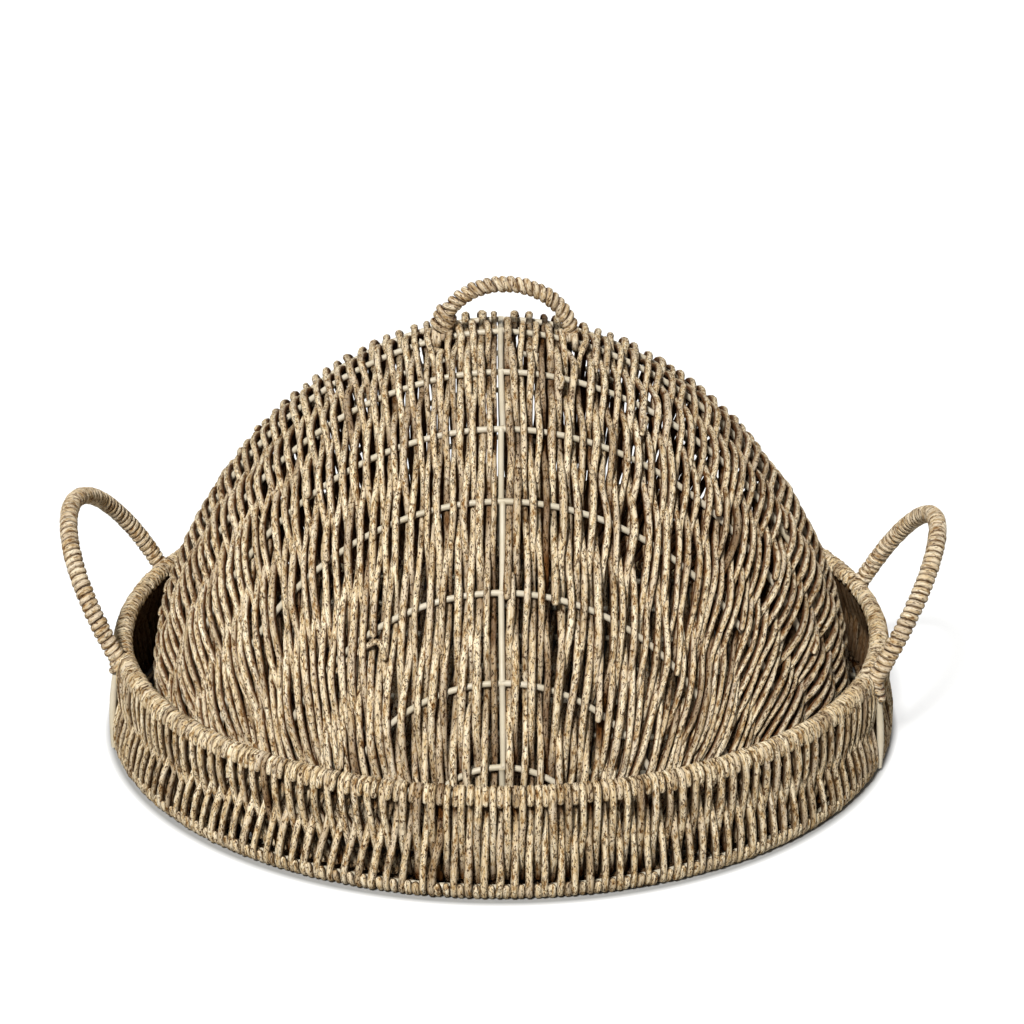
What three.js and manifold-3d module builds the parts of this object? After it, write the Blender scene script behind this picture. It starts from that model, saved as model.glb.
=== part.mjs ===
// A lidded rattan basket: a round woven tray with two side handles, and a woven dome lid standing in it.
// Millimetres, +Z up, origin on the resting plane at the middle of the tray.
import * as THREE from 'three';
import { mergeVertices } from 'three/addons/utils/BufferGeometryUtils.js';
import Module from 'manifold-3d';

const wasm = await Module();
wasm.setup();

// Wire, strand and fit
const archWire = 3.8; // diameter of the lid arches, the rib and the floor rods
const ringWire = 4.4; // diameter of the three rings
const strand = 4.1; // diameter of a woven strand
const clearance = 0.3; // gap between pieces that touch
const overrun = 6; // how far a cutting tool passes its work

// Tray
const rimRadius = 243; // centreline of the top ring
const wallFlare = 5.5; // how much further out the bottom ring lies
const ringSpacing = 56.8; // height between the centrelines of the two rings
const wallBulge = 2.4; // how far the wall bows out between the rings
const footFlat = 4.6; // width of the flat on which the wrapped bottom ring stands
const floorMargin = 48.5; // from the outermost floor rods to the bottom ring
const floorRodCount = 9;

// Side handles
const sideWire = 4.6;
const sideStrand = 3.4;
const sideHandleSpan = 150; // between the centres of the two feet at the rim
const sideHandleReach = 85; // from the rim to the top of the arch, along its lean
const sideHandleLean = 28.4; // degrees outwards from upright
const legEndHeight = 3; // lower end of a leg above the resting plane
const sideTurns = 24;

// Lid
const lidPlay = 8.9; // between the wrapped base of the lid and the wrapped rim
const domeHeight = 238.6; // arch centrelines above the feet of the arches
const domeRoundness = 1.85; // exponent of the profile: 2 is an ellipse
const archCount = 13;
const endBand = 46.439; // along the rib, from the last arch to the base
const weaveCrest = 5.5; // outer face of the lid weave beyond the arch centrelines
const weaveDepth = 6; // inner face of the lid weave within the arch centrelines
const grooveDraft = 0.6; // how much wider a groove is at the face of the weave than at its floor
const lidTurn = 3.7; // degrees by which the lid stands turned in the tray
// How far each arch, from the front one, stands back from its even place, in arch spacings
const archShiftShares = [0, -0.056, -0.046, 0.044, 0.025, -0.02, 0, 0, 0, 0, 0, 0, 0];

// Lid handle
const lidHandleWire = 3.6;
const lidHandleStrand = 3.2;
const lidHandleSpan = 82; // between the centres of the two feet
const lidHandleRise = 36.5; // from the middle arch to the top of the handle
const lidHandleShift = 3; // how far the handle stands to the right of the rib
const lidHandleTurns = 24;

// Facets
const ringSteps = 44;
const archSteps = 14;
const wireSides = 6;
const curlSteps = 8;
const curlSides = 5;
const handleSteps = 22;
const lidHandleSteps = 16;
const legSteps = 4;
const ribWalkSteps = 4000;

// Worked out from the sizes above
const wrapRadius = ringWire / 2 + strand;
const ringSeat = ringWire / 2 + clearance;
const footRadius = rimRadius + wallFlare;
const footHeight = wrapRadius;
const rimHeight = footHeight + ringSpacing;
const floorThickness = archWire + 2 * strand;
const domeRadius = rimRadius - 2 * wrapRadius - lidPlay;
const lidRingHeight = floorThickness + clearance + wrapRadius;
const domeBase = lidRingHeight + ringSeat;
const grooveHalf = archWire / 2 + clearance;

const creamPaint = () => new THREE.MeshStandardMaterial({ color: 0xe9e2cf, roughness: 0.45, metalness: 0 });
const wovenRattan = () => new THREE.MeshStandardMaterial({ color: 0xbfa377, roughness: 0.85, metalness: 0 });

const basket = new THREE.Group();
const tray = new THREE.Group();
const lid = new THREE.Group();
lid.rotation.z = THREE.MathUtils.degToRad(lidTurn);
basket.add(tray, lid);

function addPiece(group, name, geometry, material) {
  const piece = new THREE.Mesh(geometry, material);
  piece.name = name;
  group.add(piece);
  return piece;
}

// Geometry from points and triangles, turned so that its faces point out
function closedGeometry(points, triangles) {
  let volume = 0;
  for (const [a, b, c] of triangles) {
    volume += points[a].dot(points[b].clone().cross(points[c]));
  }
  const index = triangles.flatMap(([a, b, c]) => (volume < 0 ? [a, c, b] : [a, b, c]));
  const geometry = new THREE.BufferGeometry();
  const places = points.flatMap((point) => point.toArray());
  geometry.setAttribute('position', new THREE.Float32BufferAttribute(places, 3));
  geometry.setIndex(index);
  geometry.computeVertexNormals();
  return geometry;
}

function trianglesOf(geometry) {
  const triangles = [];
  for (let i = 0; i < geometry.index.count; i += 3) {
    triangles.push([geometry.index.getX(i), geometry.index.getX(i + 1), geometry.index.getX(i + 2)]);
  }
  return triangles;
}

function pointsOf(geometry) {
  const places = geometry.attributes.position;
  return Array.from({ length: places.count }, (_, i) => new THREE.Vector3().fromBufferAttribute(places, i));
}

function toSolid(geometry) {
  const bare = geometry.clone();
  bare.deleteAttribute('normal');
  bare.deleteAttribute('uv');
  const merged = mergeVertices(bare);
  const mesh = new wasm.Mesh({
    numProp: 3,
    vertProperties: new Float32Array(merged.attributes.position.array),
    triVerts: new Uint32Array(merged.index.array),
  });
  return new wasm.Manifold(mesh);
}

function fromSolid(solid) {
  const mesh = solid.getMesh();
  const geometry = new THREE.BufferGeometry();
  geometry.setAttribute('position', new THREE.Float32BufferAttribute(mesh.vertProperties, 3));
  geometry.setIndex(Array.from(mesh.triVerts));
  geometry.computeVertexNormals();
  return geometry;
}

// A closed profile of [radius, height] pairs turned about the Z axis
function turned(profile) {
  const outline = profile.map(([radius, height]) => new THREE.Vector2(radius, height));
  outline.push(outline[0].clone());
  const lathe = new THREE.LatheGeometry(outline, ringSteps);
  lathe.deleteAttribute('normal');
  lathe.deleteAttribute('uv');
  lathe.rotateX(Math.PI / 2);
  const merged = mergeVertices(lathe);
  return closedGeometry(pointsOf(merged), trianglesOf(merged));
}

const onCircle = (centreRadius, centreHeight, radius, degrees) => [
  centreRadius + radius * Math.cos(THREE.MathUtils.degToRad(degrees)),
  centreHeight + radius * Math.sin(THREE.MathUtils.degToRad(degrees)),
];

function wireRing(centreRadius, height) {
  const corners = Array.from({ length: wireSides }, (_, i) => 30 + (360 * i) / wireSides);
  return turned(corners.map((degrees) => onCircle(centreRadius, height, ringWire / 2, degrees)));
}

// A section carried along stations, each with its middle and two directions square to the way
function swept(stations, section) {
  const count = section.length;
  const points = [];
  for (const { middle, side, out } of stations) {
    for (const [across, outward] of section) {
      points.push(middle.clone().addScaledVector(side, across).addScaledVector(out, outward));
    }
  }
  const triangles = [];
  for (let i = 0; i + 1 < stations.length; i += 1) {
    for (let j = 0; j < count; j += 1) {
      const [a, b] = [i * count + j, i * count + ((j + 1) % count)];
      triangles.push([a, b, b + count], [a, b + count, a + count]);
    }
  }
  const last = (stations.length - 1) * count;
  for (let j = 1; j + 1 < count; j += 1) {
    triangles.push([0, j + 1, j], [last, last + j, last + j + 1]);
  }
  return closedGeometry(points, triangles);
}

const roundSection = (radius, sides) =>
  Array.from({ length: sides }, (_, i) => {
    const angle = (2 * Math.PI * (i + 0.5)) / sides;
    return [radius * Math.cos(angle), radius * Math.sin(angle)];
  });

// Stations on a chain of points, with the out direction kept as near as can be to the one given
function stationsAlong(points, outAt) {
  return points.map((middle, i) => {
    const before = points[Math.max(i - 1, 0)];
    const after = points[Math.min(i + 1, points.length - 1)];
    const way = after.clone().sub(before).normalize();
    const wanted = outAt(i);
    const out = wanted.clone().addScaledVector(way, -wanted.dot(way)).normalize();
    return { middle, way, out, side: way.clone().cross(out) };
  });
}

// Half an ellipse from foot to foot, in the plane of its two directions
class HandleArch extends THREE.Curve {
  constructor(middle, across, up, halfSpan, rise) {
    super();
    Object.assign(this, { middle, across, up, halfSpan, rise });
  }

  getPoint(share, target = new THREE.Vector3()) {
    const angle = Math.PI * share;
    return target
      .copy(this.middle)
      .addScaledVector(this.across, this.halfSpan * Math.cos(angle))
      .addScaledVector(this.up, this.rise * Math.sin(angle));
  }
}

// Helix radius at which the flats of the curls clear the wire inside
const curlRadius = (wire, wound) => (wire / 2 + wound / 2 + clearance) / Math.cos(Math.PI / curlSteps);

// One unbroken tube wound round an arch, starting and ending straight
function winding(arch, facing, wire, wound, startLength, turns, name) {
  const length = arch.getLength();
  const radius = curlRadius(wire, wound);
  const steps = turns * curlSteps;
  const first = startLength + wound;
  const travel = length - 2 * first;
  const around = (distance, angle) => {
    const share = distance / length;
    const binormal = arch.getTangentAt(share).cross(facing).normalize();
    return arch
      .getPointAt(share)
      .addScaledVector(facing, radius * Math.cos(angle))
      .addScaledVector(binormal, radius * Math.sin(angle));
  };
  const points = [around(startLength, 0)];
  for (let i = 0; i <= steps; i += 1) {
    points.push(around(first + (travel * i) / steps, (2 * Math.PI * i) / curlSteps));
  }
  points.push(around(length - startLength, 0));
  const middles = points.map((point) => point.clone());
  const outward = (i) => {
    const along = i === 0 ? startLength : Math.min(first + (travel * (i - 1)) / steps, length - startLength);
    return points[i].clone().sub(arch.getPointAt(along / length));
  };
  let leastGap = Infinity;
  for (let i = 0; i < middles.length; i += 1) {
    for (let j = i + curlSteps - 2; j < middles.length; j += 1) {
      leastGap = Math.min(leastGap, middles[i].distanceTo(middles[j]) - wound);
    }
  }
  console.log(`${name}: least gap of the winding to itself ${leastGap.toFixed(2)} mm`);
  return swept(stationsAlong(points, outward), roundSection(wound / 2, curlSides));
}

// Tray wall: strands hooked over the top ring, bowed out, and turned under the bottom ring. Outer strands
// change places with inner ones on the way, so halfway up they lie in one layer and the wall is thinnest.
const crossingShares = [0.25, 0.5, 0.75]; // of the height between the rings
const wallBow = (share) => wallBulge * 4 * share * (1 - share);

function wallWeave() {
  const hookSeat = ringSeat / Math.cos(Math.PI / 8);
  const body = (share, offset) => [
    THREE.MathUtils.lerp(footRadius, rimRadius, share) + wallBow(share) + offset,
    THREE.MathUtils.lerp(footHeight, rimHeight, share),
  ];
  const layer = (share) => Math.abs(Math.cos(Math.PI * share)) * (wrapRadius - strand / 2) + strand / 2;
  const rim = (radius, degrees) => onCircle(rimRadius, rimHeight, radius, degrees);
  const foot = (radius, degrees) => onCircle(footRadius, footHeight, radius, degrees);
  return turned([
    [footRadius - footFlat / 2, 0],
    [footRadius + footFlat / 2, 0],
    foot(wrapRadius, -35),
    foot(wrapRadius, 10),
    ...crossingShares.map((share) => body(share, layer(share))),
    rim(wrapRadius, 0),
    rim(wrapRadius, 45),
    rim(wrapRadius, 90),
    rim(wrapRadius, 135),
    rim(wrapRadius, 180),
    rim(wrapRadius, 220),
    rim(hookSeat, 220),
    rim(hookSeat, 180),
    rim(hookSeat, 135),
    rim(hookSeat, 90),
    rim(hookSeat, 45),
    rim(hookSeat, 0),
    rim(hookSeat, -45),
    body(crossingShares[1], -strand / 2),
    foot(hookSeat, 0),
    foot(hookSeat, -45),
    foot(hookSeat, -90),
    foot(hookSeat, -115),
  ]);
}

// Side handles: an arch leaning outwards, with a leg down the outside of the wall at each foot
const legRadius = rimRadius + ringSeat + sideWire / 2;
const legEndRadius = footRadius + ringSeat + sideWire / 2;
const footAngle = Math.asin(sideHandleSpan / 2 / legRadius);
const lean = THREE.MathUtils.degToRad(sideHandleLean);
const sideCurlReach = curlRadius(sideWire, sideStrand) + sideStrand / 2;

function sideArch(sign) {
  const middle = new THREE.Vector3(sign * legRadius * Math.cos(footAngle), 0, rimHeight);
  const across = new THREE.Vector3(0, sign, 0);
  const up = new THREE.Vector3(sign * Math.sin(lean), 0, Math.cos(lean));
  return new HandleArch(middle, across, up, sideHandleSpan / 2, sideHandleReach);
}

const sideFacing = (sign) => new THREE.Vector3(sign * Math.cos(lean), 0, -Math.sin(lean));

// A leg follows the wall's own bow between its end and the rim
function legPoints(sign, end) {
  const points = [];
  for (let i = 0; i < legSteps; i += 1) {
    const share = i / legSteps;
    const radius = THREE.MathUtils.lerp(legEndRadius, legRadius, share) + wallBow(share);
    const height = THREE.MathUtils.lerp(legEndHeight, rimHeight, share);
    const across = end * radius * Math.sin(footAngle);
    points.push(new THREE.Vector3(sign * radius * Math.cos(footAngle), across, height));
  }
  return points;
}

function sideStations(sign) {
  const arch = sideArch(sign);
  const archPoints = arch.getSpacedPoints(handleSteps);
  const points = [...legPoints(sign, sign), ...archPoints, ...legPoints(sign, -sign).reverse()];
  return stationsAlong(points, () => sideFacing(sign));
}

// The slot that a leg takes in the wall, open outwards
function legSlot(stations) {
  const half = sideWire / 2 + clearance;
  const start = stations[0].middle.clone().addScaledVector(stations[0].way, -overrun);
  const slotStations = [{ ...stations[0], middle: start }, ...stations];
  return swept(slotStations, [[-half, -half], [half, -half], [half, overrun], [-half, overrun]]);
}

// Length of arch from the rim's centreline to where the winding clears the wrapped rim
function sideWindingStart() {
  const offset = legRadius - rimRadius;
  const reach = wrapRadius + sideCurlReach + clearance;
  const outward = Math.sin(lean) * Math.cos(footAngle);
  const square = outward ** 2 + Math.cos(lean) ** 2;
  const half = offset * outward;
  return (-half + Math.sqrt(half ** 2 + square * (reach ** 2 - offset ** 2))) / square;
}

let wall = toSolid(wallWeave());
const slotLength = legSteps + 3; // stations from the end of a leg to just above the rim
for (const [sign, hand] of [[1, 'right'], [-1, 'left']]) {
  const stations = sideStations(sign);
  wall = wall.subtract(toSolid(legSlot(stations.slice(0, slotLength))));
  const backLeg = stations.slice(-slotLength).reverse();
  const turnedBack = backLeg.map((station) => ({ ...station, way: station.way.clone().negate() }));
  wall = wall.subtract(toSolid(legSlot(turnedBack)));
  const wire = swept(stations, roundSection(sideWire / 2, wireSides));
  addPiece(tray, `side_handle_wire_${hand}`, wire, creamPaint());
  const wound = winding(sideArch(sign), sideFacing(sign), sideWire, sideStrand, sideWindingStart(), sideTurns,
    `side_handle_winding_${hand}`);
  addPiece(tray, `side_handle_winding_${hand}`, wound, wovenRattan());
}
addPiece(tray, 'tray_top_ring', wireRing(rimRadius, rimHeight), creamPaint());
addPiece(tray, 'tray_bottom_ring', wireRing(footRadius, footHeight), creamPaint());
addPiece(tray, 'tray_wall_weave', fromSolid(wall), wovenRattan());

// Floor: rods from one side of the bottom ring to the other, with the floor weave round them
const facetSag = footRadius * (1 - Math.cos(Math.PI / ringSteps));
const floorRadius = footRadius - ringSeat - clearance;
const rodEndRadius = floorRadius - facetSag;
let floor = toSolid(turned([[0, 0], [floorRadius, 0], [floorRadius, floorThickness], [0, floorThickness]]));

function alongX(place, halfLength, radius) {
  const out = new THREE.Vector3(0, 0, 1);
  const side = new THREE.Vector3(0, 1, 0);
  const stations = [-halfLength, halfLength].map((x) => ({
    middle: new THREE.Vector3(x, place, floorThickness / 2),
    side,
    out,
  }));
  return swept(stations, roundSection(radius, wireSides));
}

const floorRodSpacing = (2 * (footRadius - floorMargin)) / (floorRodCount - 1);
for (let i = 0; i < floorRodCount; i += 1) {
  const place = (i - (floorRodCount - 1) / 2) * floorRodSpacing;
  const reach = Math.abs(place) + archWire / 2;
  const halfLength = Math.sqrt(rodEndRadius ** 2 - reach ** 2);
  const number = String(i + 1).padStart(2, '0');
  addPiece(tray, `tray_floor_rod_${number}`, alongX(place, halfLength, archWire / 2), creamPaint());
  const bore = (archWire / 2 + clearance) / Math.cos(Math.PI / wireSides);
  floor = floor.subtract(toSolid(alongX(place, floorRadius + overrun, bore)));
}
addPiece(tray, 'tray_floor_weave', fromSolid(floor), wovenRattan());

// Lid: a dome of upright arches one behind the other. Its profile gives the height over any place.
const profileHeight = (radius) =>
  domeHeight * Math.max(1 - (radius / domeRadius) ** domeRoundness, 0) ** (1 / domeRoundness);

// The rib walked from the top to the base: at each step the length so far and the distance forwards
const ribWalk = [{ walked: 0, radius: 0, height: domeHeight }];
for (let i = 1; i <= ribWalkSteps; i += 1) {
  const last = ribWalk[i - 1];
  const radius = domeRadius * Math.sin((Math.PI / 2) * (i / ribWalkSteps));
  const height = profileHeight(radius);
  const walked = last.walked + Math.hypot(radius - last.radius, height - last.height);
  ribWalk.push({ walked, radius, height });
}

function forwardAt(ribLength) {
  const next = Math.max(ribWalk.findIndex((step) => step.walked >= ribLength), 1);
  const [from, to] = [ribWalk[next - 1], ribWalk[next]];
  return THREE.MathUtils.lerp(from.radius, to.radius, (ribLength - from.walked) / (to.walked - from.walked));
}

// Middle of the wire at a place on the dome, with the directions out of the dome, along the arch and across it
function domeStation(x, y) {
  const radius = Math.hypot(x, y);
  const height = profileHeight(radius);
  const run = (radius / domeRadius) ** (domeRoundness - 1) / domeRadius;
  const climb = (height / domeHeight) ** (domeRoundness - 1) / domeHeight;
  const out = new THREE.Vector3(0, 0, 1);
  if (radius > 0) {
    out.set((run * x) / radius, (run * y) / radius, climb).normalize();
  }
  const along = new THREE.Vector3(0, 1, 0).cross(out).normalize();
  return { middle: new THREE.Vector3(x, y, domeBase + height), out, along, side: out.clone().cross(along) };
}

const halfSpanAt = (y) => Math.sqrt(domeRadius ** 2 - y ** 2);
const archSpacing = (ribWalk[ribWalkSteps].walked - endBand) / ((archCount - 1) / 2);
const placeOnRib = (spacings) => Math.sign(spacings) * forwardAt(Math.abs(spacings) * archSpacing);
const spacingsAt = (i) => i - (archCount - 1) / 2 + (archShiftShares[i] ?? 0);
const archPlaces = Array.from({ length: archCount }, (_, i) => placeOnRib(spacingsAt(i)));
const archAngles = Array.from({ length: archSteps + 1 }, (_, i) => (Math.PI * i) / archSteps);

// Columns of the weave: the arch angles, with the middle one opened into a groove for the rib
const grooveMouth = grooveHalf + grooveDraft;
const ribColumns = [grooveMouth, grooveHalf, -grooveHalf, -grooveMouth];

function columnPlaces(y) {
  const half = halfSpanAt(y);
  const middle = archSteps / 2;
  const before = archAngles.slice(0, middle).map((angle) => half * Math.cos(angle));
  const after = archAngles.slice(middle + 1).map((angle) => half * Math.cos(angle));
  return [...before, ...ribColumns, ...after];
}

// An arch has the columns of the weave that it lies in, apart from the edges of the rib groove's floor
function archStations(y) {
  const places = columnPlaces(y).filter((place, column) => !inRib(column));
  return places.map((x) => domeStation(x, y));
}

const inRib = (column) => column === archSteps / 2 + 1 || column === archSteps / 2 + 2;

// One row of the weave's outer face beside or under an arch
function weaveRow(y, across, depth) {
  return columnPlaces(y).map((x, column) => {
    const station = domeStation(x, y);
    const height = inRib(column) ? -grooveHalf : depth;
    return station.middle.addScaledVector(station.side, across).addScaledVector(station.out, height);
  });
}

// One row halfway between two arches, where the strands lie in one layer and the rib's groove runs straight
function bandRow(y, before, after) {
  return columnPlaces(y).map((x, column, { length }) => {
    if (inRib(column)) {
      return before[column].clone().lerp(after[column], 1 / 2);
    }
    const station = domeStation(x, y);
    const isEnd = column === 0 || column === length - 1;
    return station.middle.addScaledVector(station.out, isEnd ? weaveCrest : strand / 2);
  });
}

// The row on the base circle that ends the weave before the first arch or behind the last
function baseRow(neighbour, end, offsetAt) {
  const half = Math.abs(neighbour[0].x);
  return neighbour.map((point, column) => {
    if (column === 0 || column === neighbour.length - 1) {
      return point;
    }
    const plain = archAngles[column <= archSteps / 2 ? column : column - ribColumns.length + 1];
    const ribPlace = column - archSteps / 2;
    const isRib = ribPlace >= 0 && ribPlace < ribColumns.length;
    const x = isRib ? ribColumns[ribPlace] : half * Math.cos(plain);
    const radius = domeRadius + offsetAt(column);
    return new THREE.Vector3(x, end * Math.sqrt(radius ** 2 - x ** 2), domeBase);
  });
}

function rowsWithEnds(rows, offsetAt) {
  const front = baseRow(rows[0], -1, offsetAt);
  const back = baseRow(rows[rows.length - 1], 1, offsetAt);
  return [front, ...rows, back];
}

// Skin over a grid of rows, whose first and last rows share their end points with their neighbours
function addSkin(rows, points, triangles) {
  const start = points.length;
  rows.forEach((row) => points.push(...row));
  const width = rows[0].length;
  const at = (row, column) => {
    const ending = column === 0 || column === width - 1;
    const shared = ending ? Math.min(Math.max(row, 1), rows.length - 2) : row;
    return start + shared * width + column;
  };
  for (let row = 0; row + 1 < rows.length; row += 1) {
    for (let column = 0; column + 1 < width; column += 1) {
      const corners = [at(row, column), at(row, column + 1), at(row + 1, column + 1), at(row + 1, column)];
      for (const [a, b, c] of [[0, 1, 2], [0, 2, 3]]) {
        const triangle = [corners[a], corners[b], corners[c]];
        if (new Set(triangle).size === 3) {
          triangles.push(triangle);
        }
      }
    }
  }
  const loop = [];
  for (let row = 1; row + 1 < rows.length; row += 1) loop.push(at(row, 0));
  for (let column = 1; column + 1 < width; column += 1) loop.push(at(rows.length - 1, column));
  for (let row = rows.length - 2; row > 0; row -= 1) loop.push(at(row, width - 1));
  for (let column = width - 2; column > 0; column -= 1) loop.push(at(0, column));
  return loop;
}

// Flat strip between two loops that go round the Z axis the same way
function addStrip(outer, inner, points, triangles) {
  const angleOf = (index) => Math.atan2(points[index].y, points[index].x);
  const ordered = (loop) => {
    const sorted = loop.map((index) => ({ index, angle: angleOf(index) }));
    sorted.sort((a, b) => a.angle - b.angle);
    return sorted;
  };
  const [a, b] = [ordered(outer), ordered(inner)];
  const angleIn = (loop, i) => loop[i % loop.length].angle + (i >= loop.length ? 2 * Math.PI : 0);
  let [i, j] = [0, 0];
  while (i < a.length || j < b.length) {
    const here = [a[i % a.length].index, b[j % b.length].index];
    if (j >= b.length || (i < a.length && angleIn(a, i + 1) <= angleIn(b, j + 1))) {
      triangles.push([here[0], a[(i + 1) % a.length].index, here[1]]);
      i += 1;
    } else {
      triangles.push([here[0], b[(j + 1) % b.length].index, here[1]]);
      j += 1;
    }
  }
}

function domeWeave() {
  const outerRows = [];
  archPlaces.forEach((y, i) => {
    const front = weaveRow(y, -grooveMouth, weaveCrest);
    if (i > 0) {
      const between = (spacingsAt(i - 1) + spacingsAt(i)) / 2;
      outerRows.push(bandRow(placeOnRib(between), outerRows[outerRows.length - 1], front));
    }
    outerRows.push(front);
    outerRows.push(weaveRow(y, -grooveHalf, -grooveHalf));
    outerRows.push(weaveRow(y, grooveHalf, -grooveHalf));
    outerRows.push(weaveRow(y, grooveMouth, weaveCrest));
  });
  const innerRows = archPlaces.map((y) =>
    columnPlaces(y).map((x) => {
      const station = domeStation(x, y);
      return station.middle.addScaledVector(station.out, -weaveDepth);
    }),
  );
  const points = [];
  const outerFace = [];
  const innerFace = [];
  const outerOffset = (column) => (inRib(column) ? -grooveHalf : weaveCrest);
  const outerLoop = addSkin(rowsWithEnds(outerRows, outerOffset), points, outerFace);
  const innerLoop = addSkin(rowsWithEnds(innerRows, () => -weaveDepth), points, innerFace);
  const strip = [];
  addStrip(outerLoop, innerLoop, points, strip);
  const flipped = ([a, b, c]) => [a, c, b];
  return closedGeometry(points, [...outerFace, ...innerFace.map(flipped), ...strip]);
}

// Strand ends turned round the base ring: a gutter that holds the ring and joins the weave on its outer side
function baseWrap() {
  const seat = ringSeat / Math.cos(Math.PI / 6);
  const ring = (radius, degrees) => onCircle(domeRadius, lidRingHeight, radius, degrees);
  return turned([
    [domeRadius + weaveCrest - clearance, domeBase + strand],
    [domeRadius + seat, domeBase + strand],
    ring(seat, 0),
    ring(seat, -60),
    ring(seat, -120),
    ring(seat, 180),
    ring(wrapRadius, 180),
    ring(wrapRadius, -135),
    ring(wrapRadius, -90),
    ring(wrapRadius, -45),
    ring(wrapRadius, 0),
  ]);
}

const lidWeave = toSolid(domeWeave()).add(toSolid(baseWrap()));
addPiece(lid, 'lid_weave', fromSolid(lidWeave), wovenRattan());
addPiece(lid, 'lid_base_ring', wireRing(domeRadius, lidRingHeight), creamPaint());
archPlaces.forEach((y, i) => {
  const number = String(i + 1).padStart(2, '0');
  const stations = archStations(y);
  addPiece(lid, `lid_arch_${number}`, swept(stations, roundSection(archWire / 2, wireSides)), creamPaint());
});

// Rib: short straight wires from one arch to the next, and from the end arches down to the base ring
function ribEnd(y, across) {
  const station = domeStation(0, y);
  station.middle.addScaledVector(station.side, across);
  return { middle: station.middle, out: station.out, side: station.along };
}

function ribFoot(end) {
  const middle = new THREE.Vector3(0, end * domeRadius, domeBase);
  return { middle, out: new THREE.Vector3(0, end, 0), side: new THREE.Vector3(1, 0, 0) };
}

const ribEnds = archPlaces.map((y) => ({ front: ribEnd(y, -grooveHalf), back: ribEnd(y, grooveHalf) }));
const ribStarts = [ribFoot(-1), ...ribEnds.map((ends) => ends.back)];
const ribStops = [...ribEnds.map((ends) => ends.front), ribFoot(1)];
ribStarts.forEach((start, i) => {
  const number = String(i + 1).padStart(2, '0');
  const wire = swept([start, ribStops[i]], roundSection(archWire / 2, wireSides));
  addPiece(lid, `lid_rib_${number}`, wire, creamPaint());
});

// Lid handle: an arch standing on the middle arch, wound from just above the weave
const lidFootLift = archWire / 2 + clearance;
const lidCurlReach = curlRadius(lidHandleWire, lidHandleStrand) + lidHandleStrand / 2;
const leftFoot = domeStation(lidHandleShift - lidHandleSpan / 2, 0);
const rightFoot = domeStation(lidHandleShift + lidHandleSpan / 2, 0); // the lower and steeper one
const lidFacing = new THREE.Vector3(0, 1, 0);
const lidAcross = rightFoot.middle.clone().sub(leftFoot.middle).normalize();
const lidUp = lidAcross.clone().cross(lidFacing);
const feetMiddle = leftFoot.middle.clone().lerp(rightFoot.middle, 1 / 2);
const lidHandleArch = new HandleArch(
  feetMiddle.addScaledVector(lidUp, lidFootLift),
  lidAcross,
  lidUp,
  lidHandleSpan / 2,
  lidHandleRise - lidFootLift,
);
const [footAcross, footUp] = [rightFoot.out.dot(lidAcross), rightFoot.out.dot(lidUp)];
const lidWindingStart = (weaveCrest + lidCurlReach * footAcross) / footUp + clearance - lidFootLift;
const lidHandleStations = stationsAlong(lidHandleArch.getSpacedPoints(lidHandleSteps), () => lidFacing);
const lidHandleCore = swept(lidHandleStations, roundSection(lidHandleWire / 2, wireSides));
addPiece(lid, 'lid_handle_wire', lidHandleCore, creamPaint());
const lidWound = winding(lidHandleArch, lidFacing, lidHandleWire, lidHandleStrand, lidWindingStart,
  lidHandleTurns, 'lid_handle_winding');
addPiece(lid, 'lid_handle_winding', lidWound, wovenRattan());

export default basket;
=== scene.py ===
import math

import bpy
import numpy as np
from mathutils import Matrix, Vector


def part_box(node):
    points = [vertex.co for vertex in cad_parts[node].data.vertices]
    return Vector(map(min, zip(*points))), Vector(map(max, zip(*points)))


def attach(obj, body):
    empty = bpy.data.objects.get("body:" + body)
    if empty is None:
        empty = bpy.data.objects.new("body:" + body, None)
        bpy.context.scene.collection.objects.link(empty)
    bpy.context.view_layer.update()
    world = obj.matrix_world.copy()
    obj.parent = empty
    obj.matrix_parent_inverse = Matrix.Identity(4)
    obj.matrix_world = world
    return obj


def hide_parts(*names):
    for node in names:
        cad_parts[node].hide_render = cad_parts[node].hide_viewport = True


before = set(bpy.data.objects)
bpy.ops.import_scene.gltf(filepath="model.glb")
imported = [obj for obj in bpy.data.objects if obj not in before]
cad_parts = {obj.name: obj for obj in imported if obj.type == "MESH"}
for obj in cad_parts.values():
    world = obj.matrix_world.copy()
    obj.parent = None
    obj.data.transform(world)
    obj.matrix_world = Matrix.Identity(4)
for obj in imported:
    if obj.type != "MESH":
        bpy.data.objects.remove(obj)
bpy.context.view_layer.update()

mm = 0.001

# Shared sizes, as the CAD has them
basket = {
    "archWire": 3.8 * mm,
    "ringWire": 4.4 * mm,
    "strand": 4.1 * mm,
    "wallBulge": 2.4 * mm,
    "domeRadius": 221.5 * mm,
    "domeHeight": 238.6 * mm,
    "domeRoundness": 1.85,
    "domeBase": 21.1 * mm,
    "archCount": 13,
    "floorRods": 9,
    "floorRodSpacing": 50 * mm,
}


def ringPlace(node):
    low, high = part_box(node)
    corner = math.cos(math.radians(30)) * basket["ringWire"] / 2  # the CAD ring has six sides
    return high.x - corner, (low.z + high.z) / 2


rimRadius, rimHeight = ringPlace("tray_top_ring")
footRadius, footHeight = ringPlace("tray_bottom_ring")
lidRingRadius = basket["domeRadius"]
lidRingHeight = sum(corner.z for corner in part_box("lid_base_ring")) / 2


def boxMiddle(node):
    low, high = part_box(node)
    return (low + high) / 2


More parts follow.
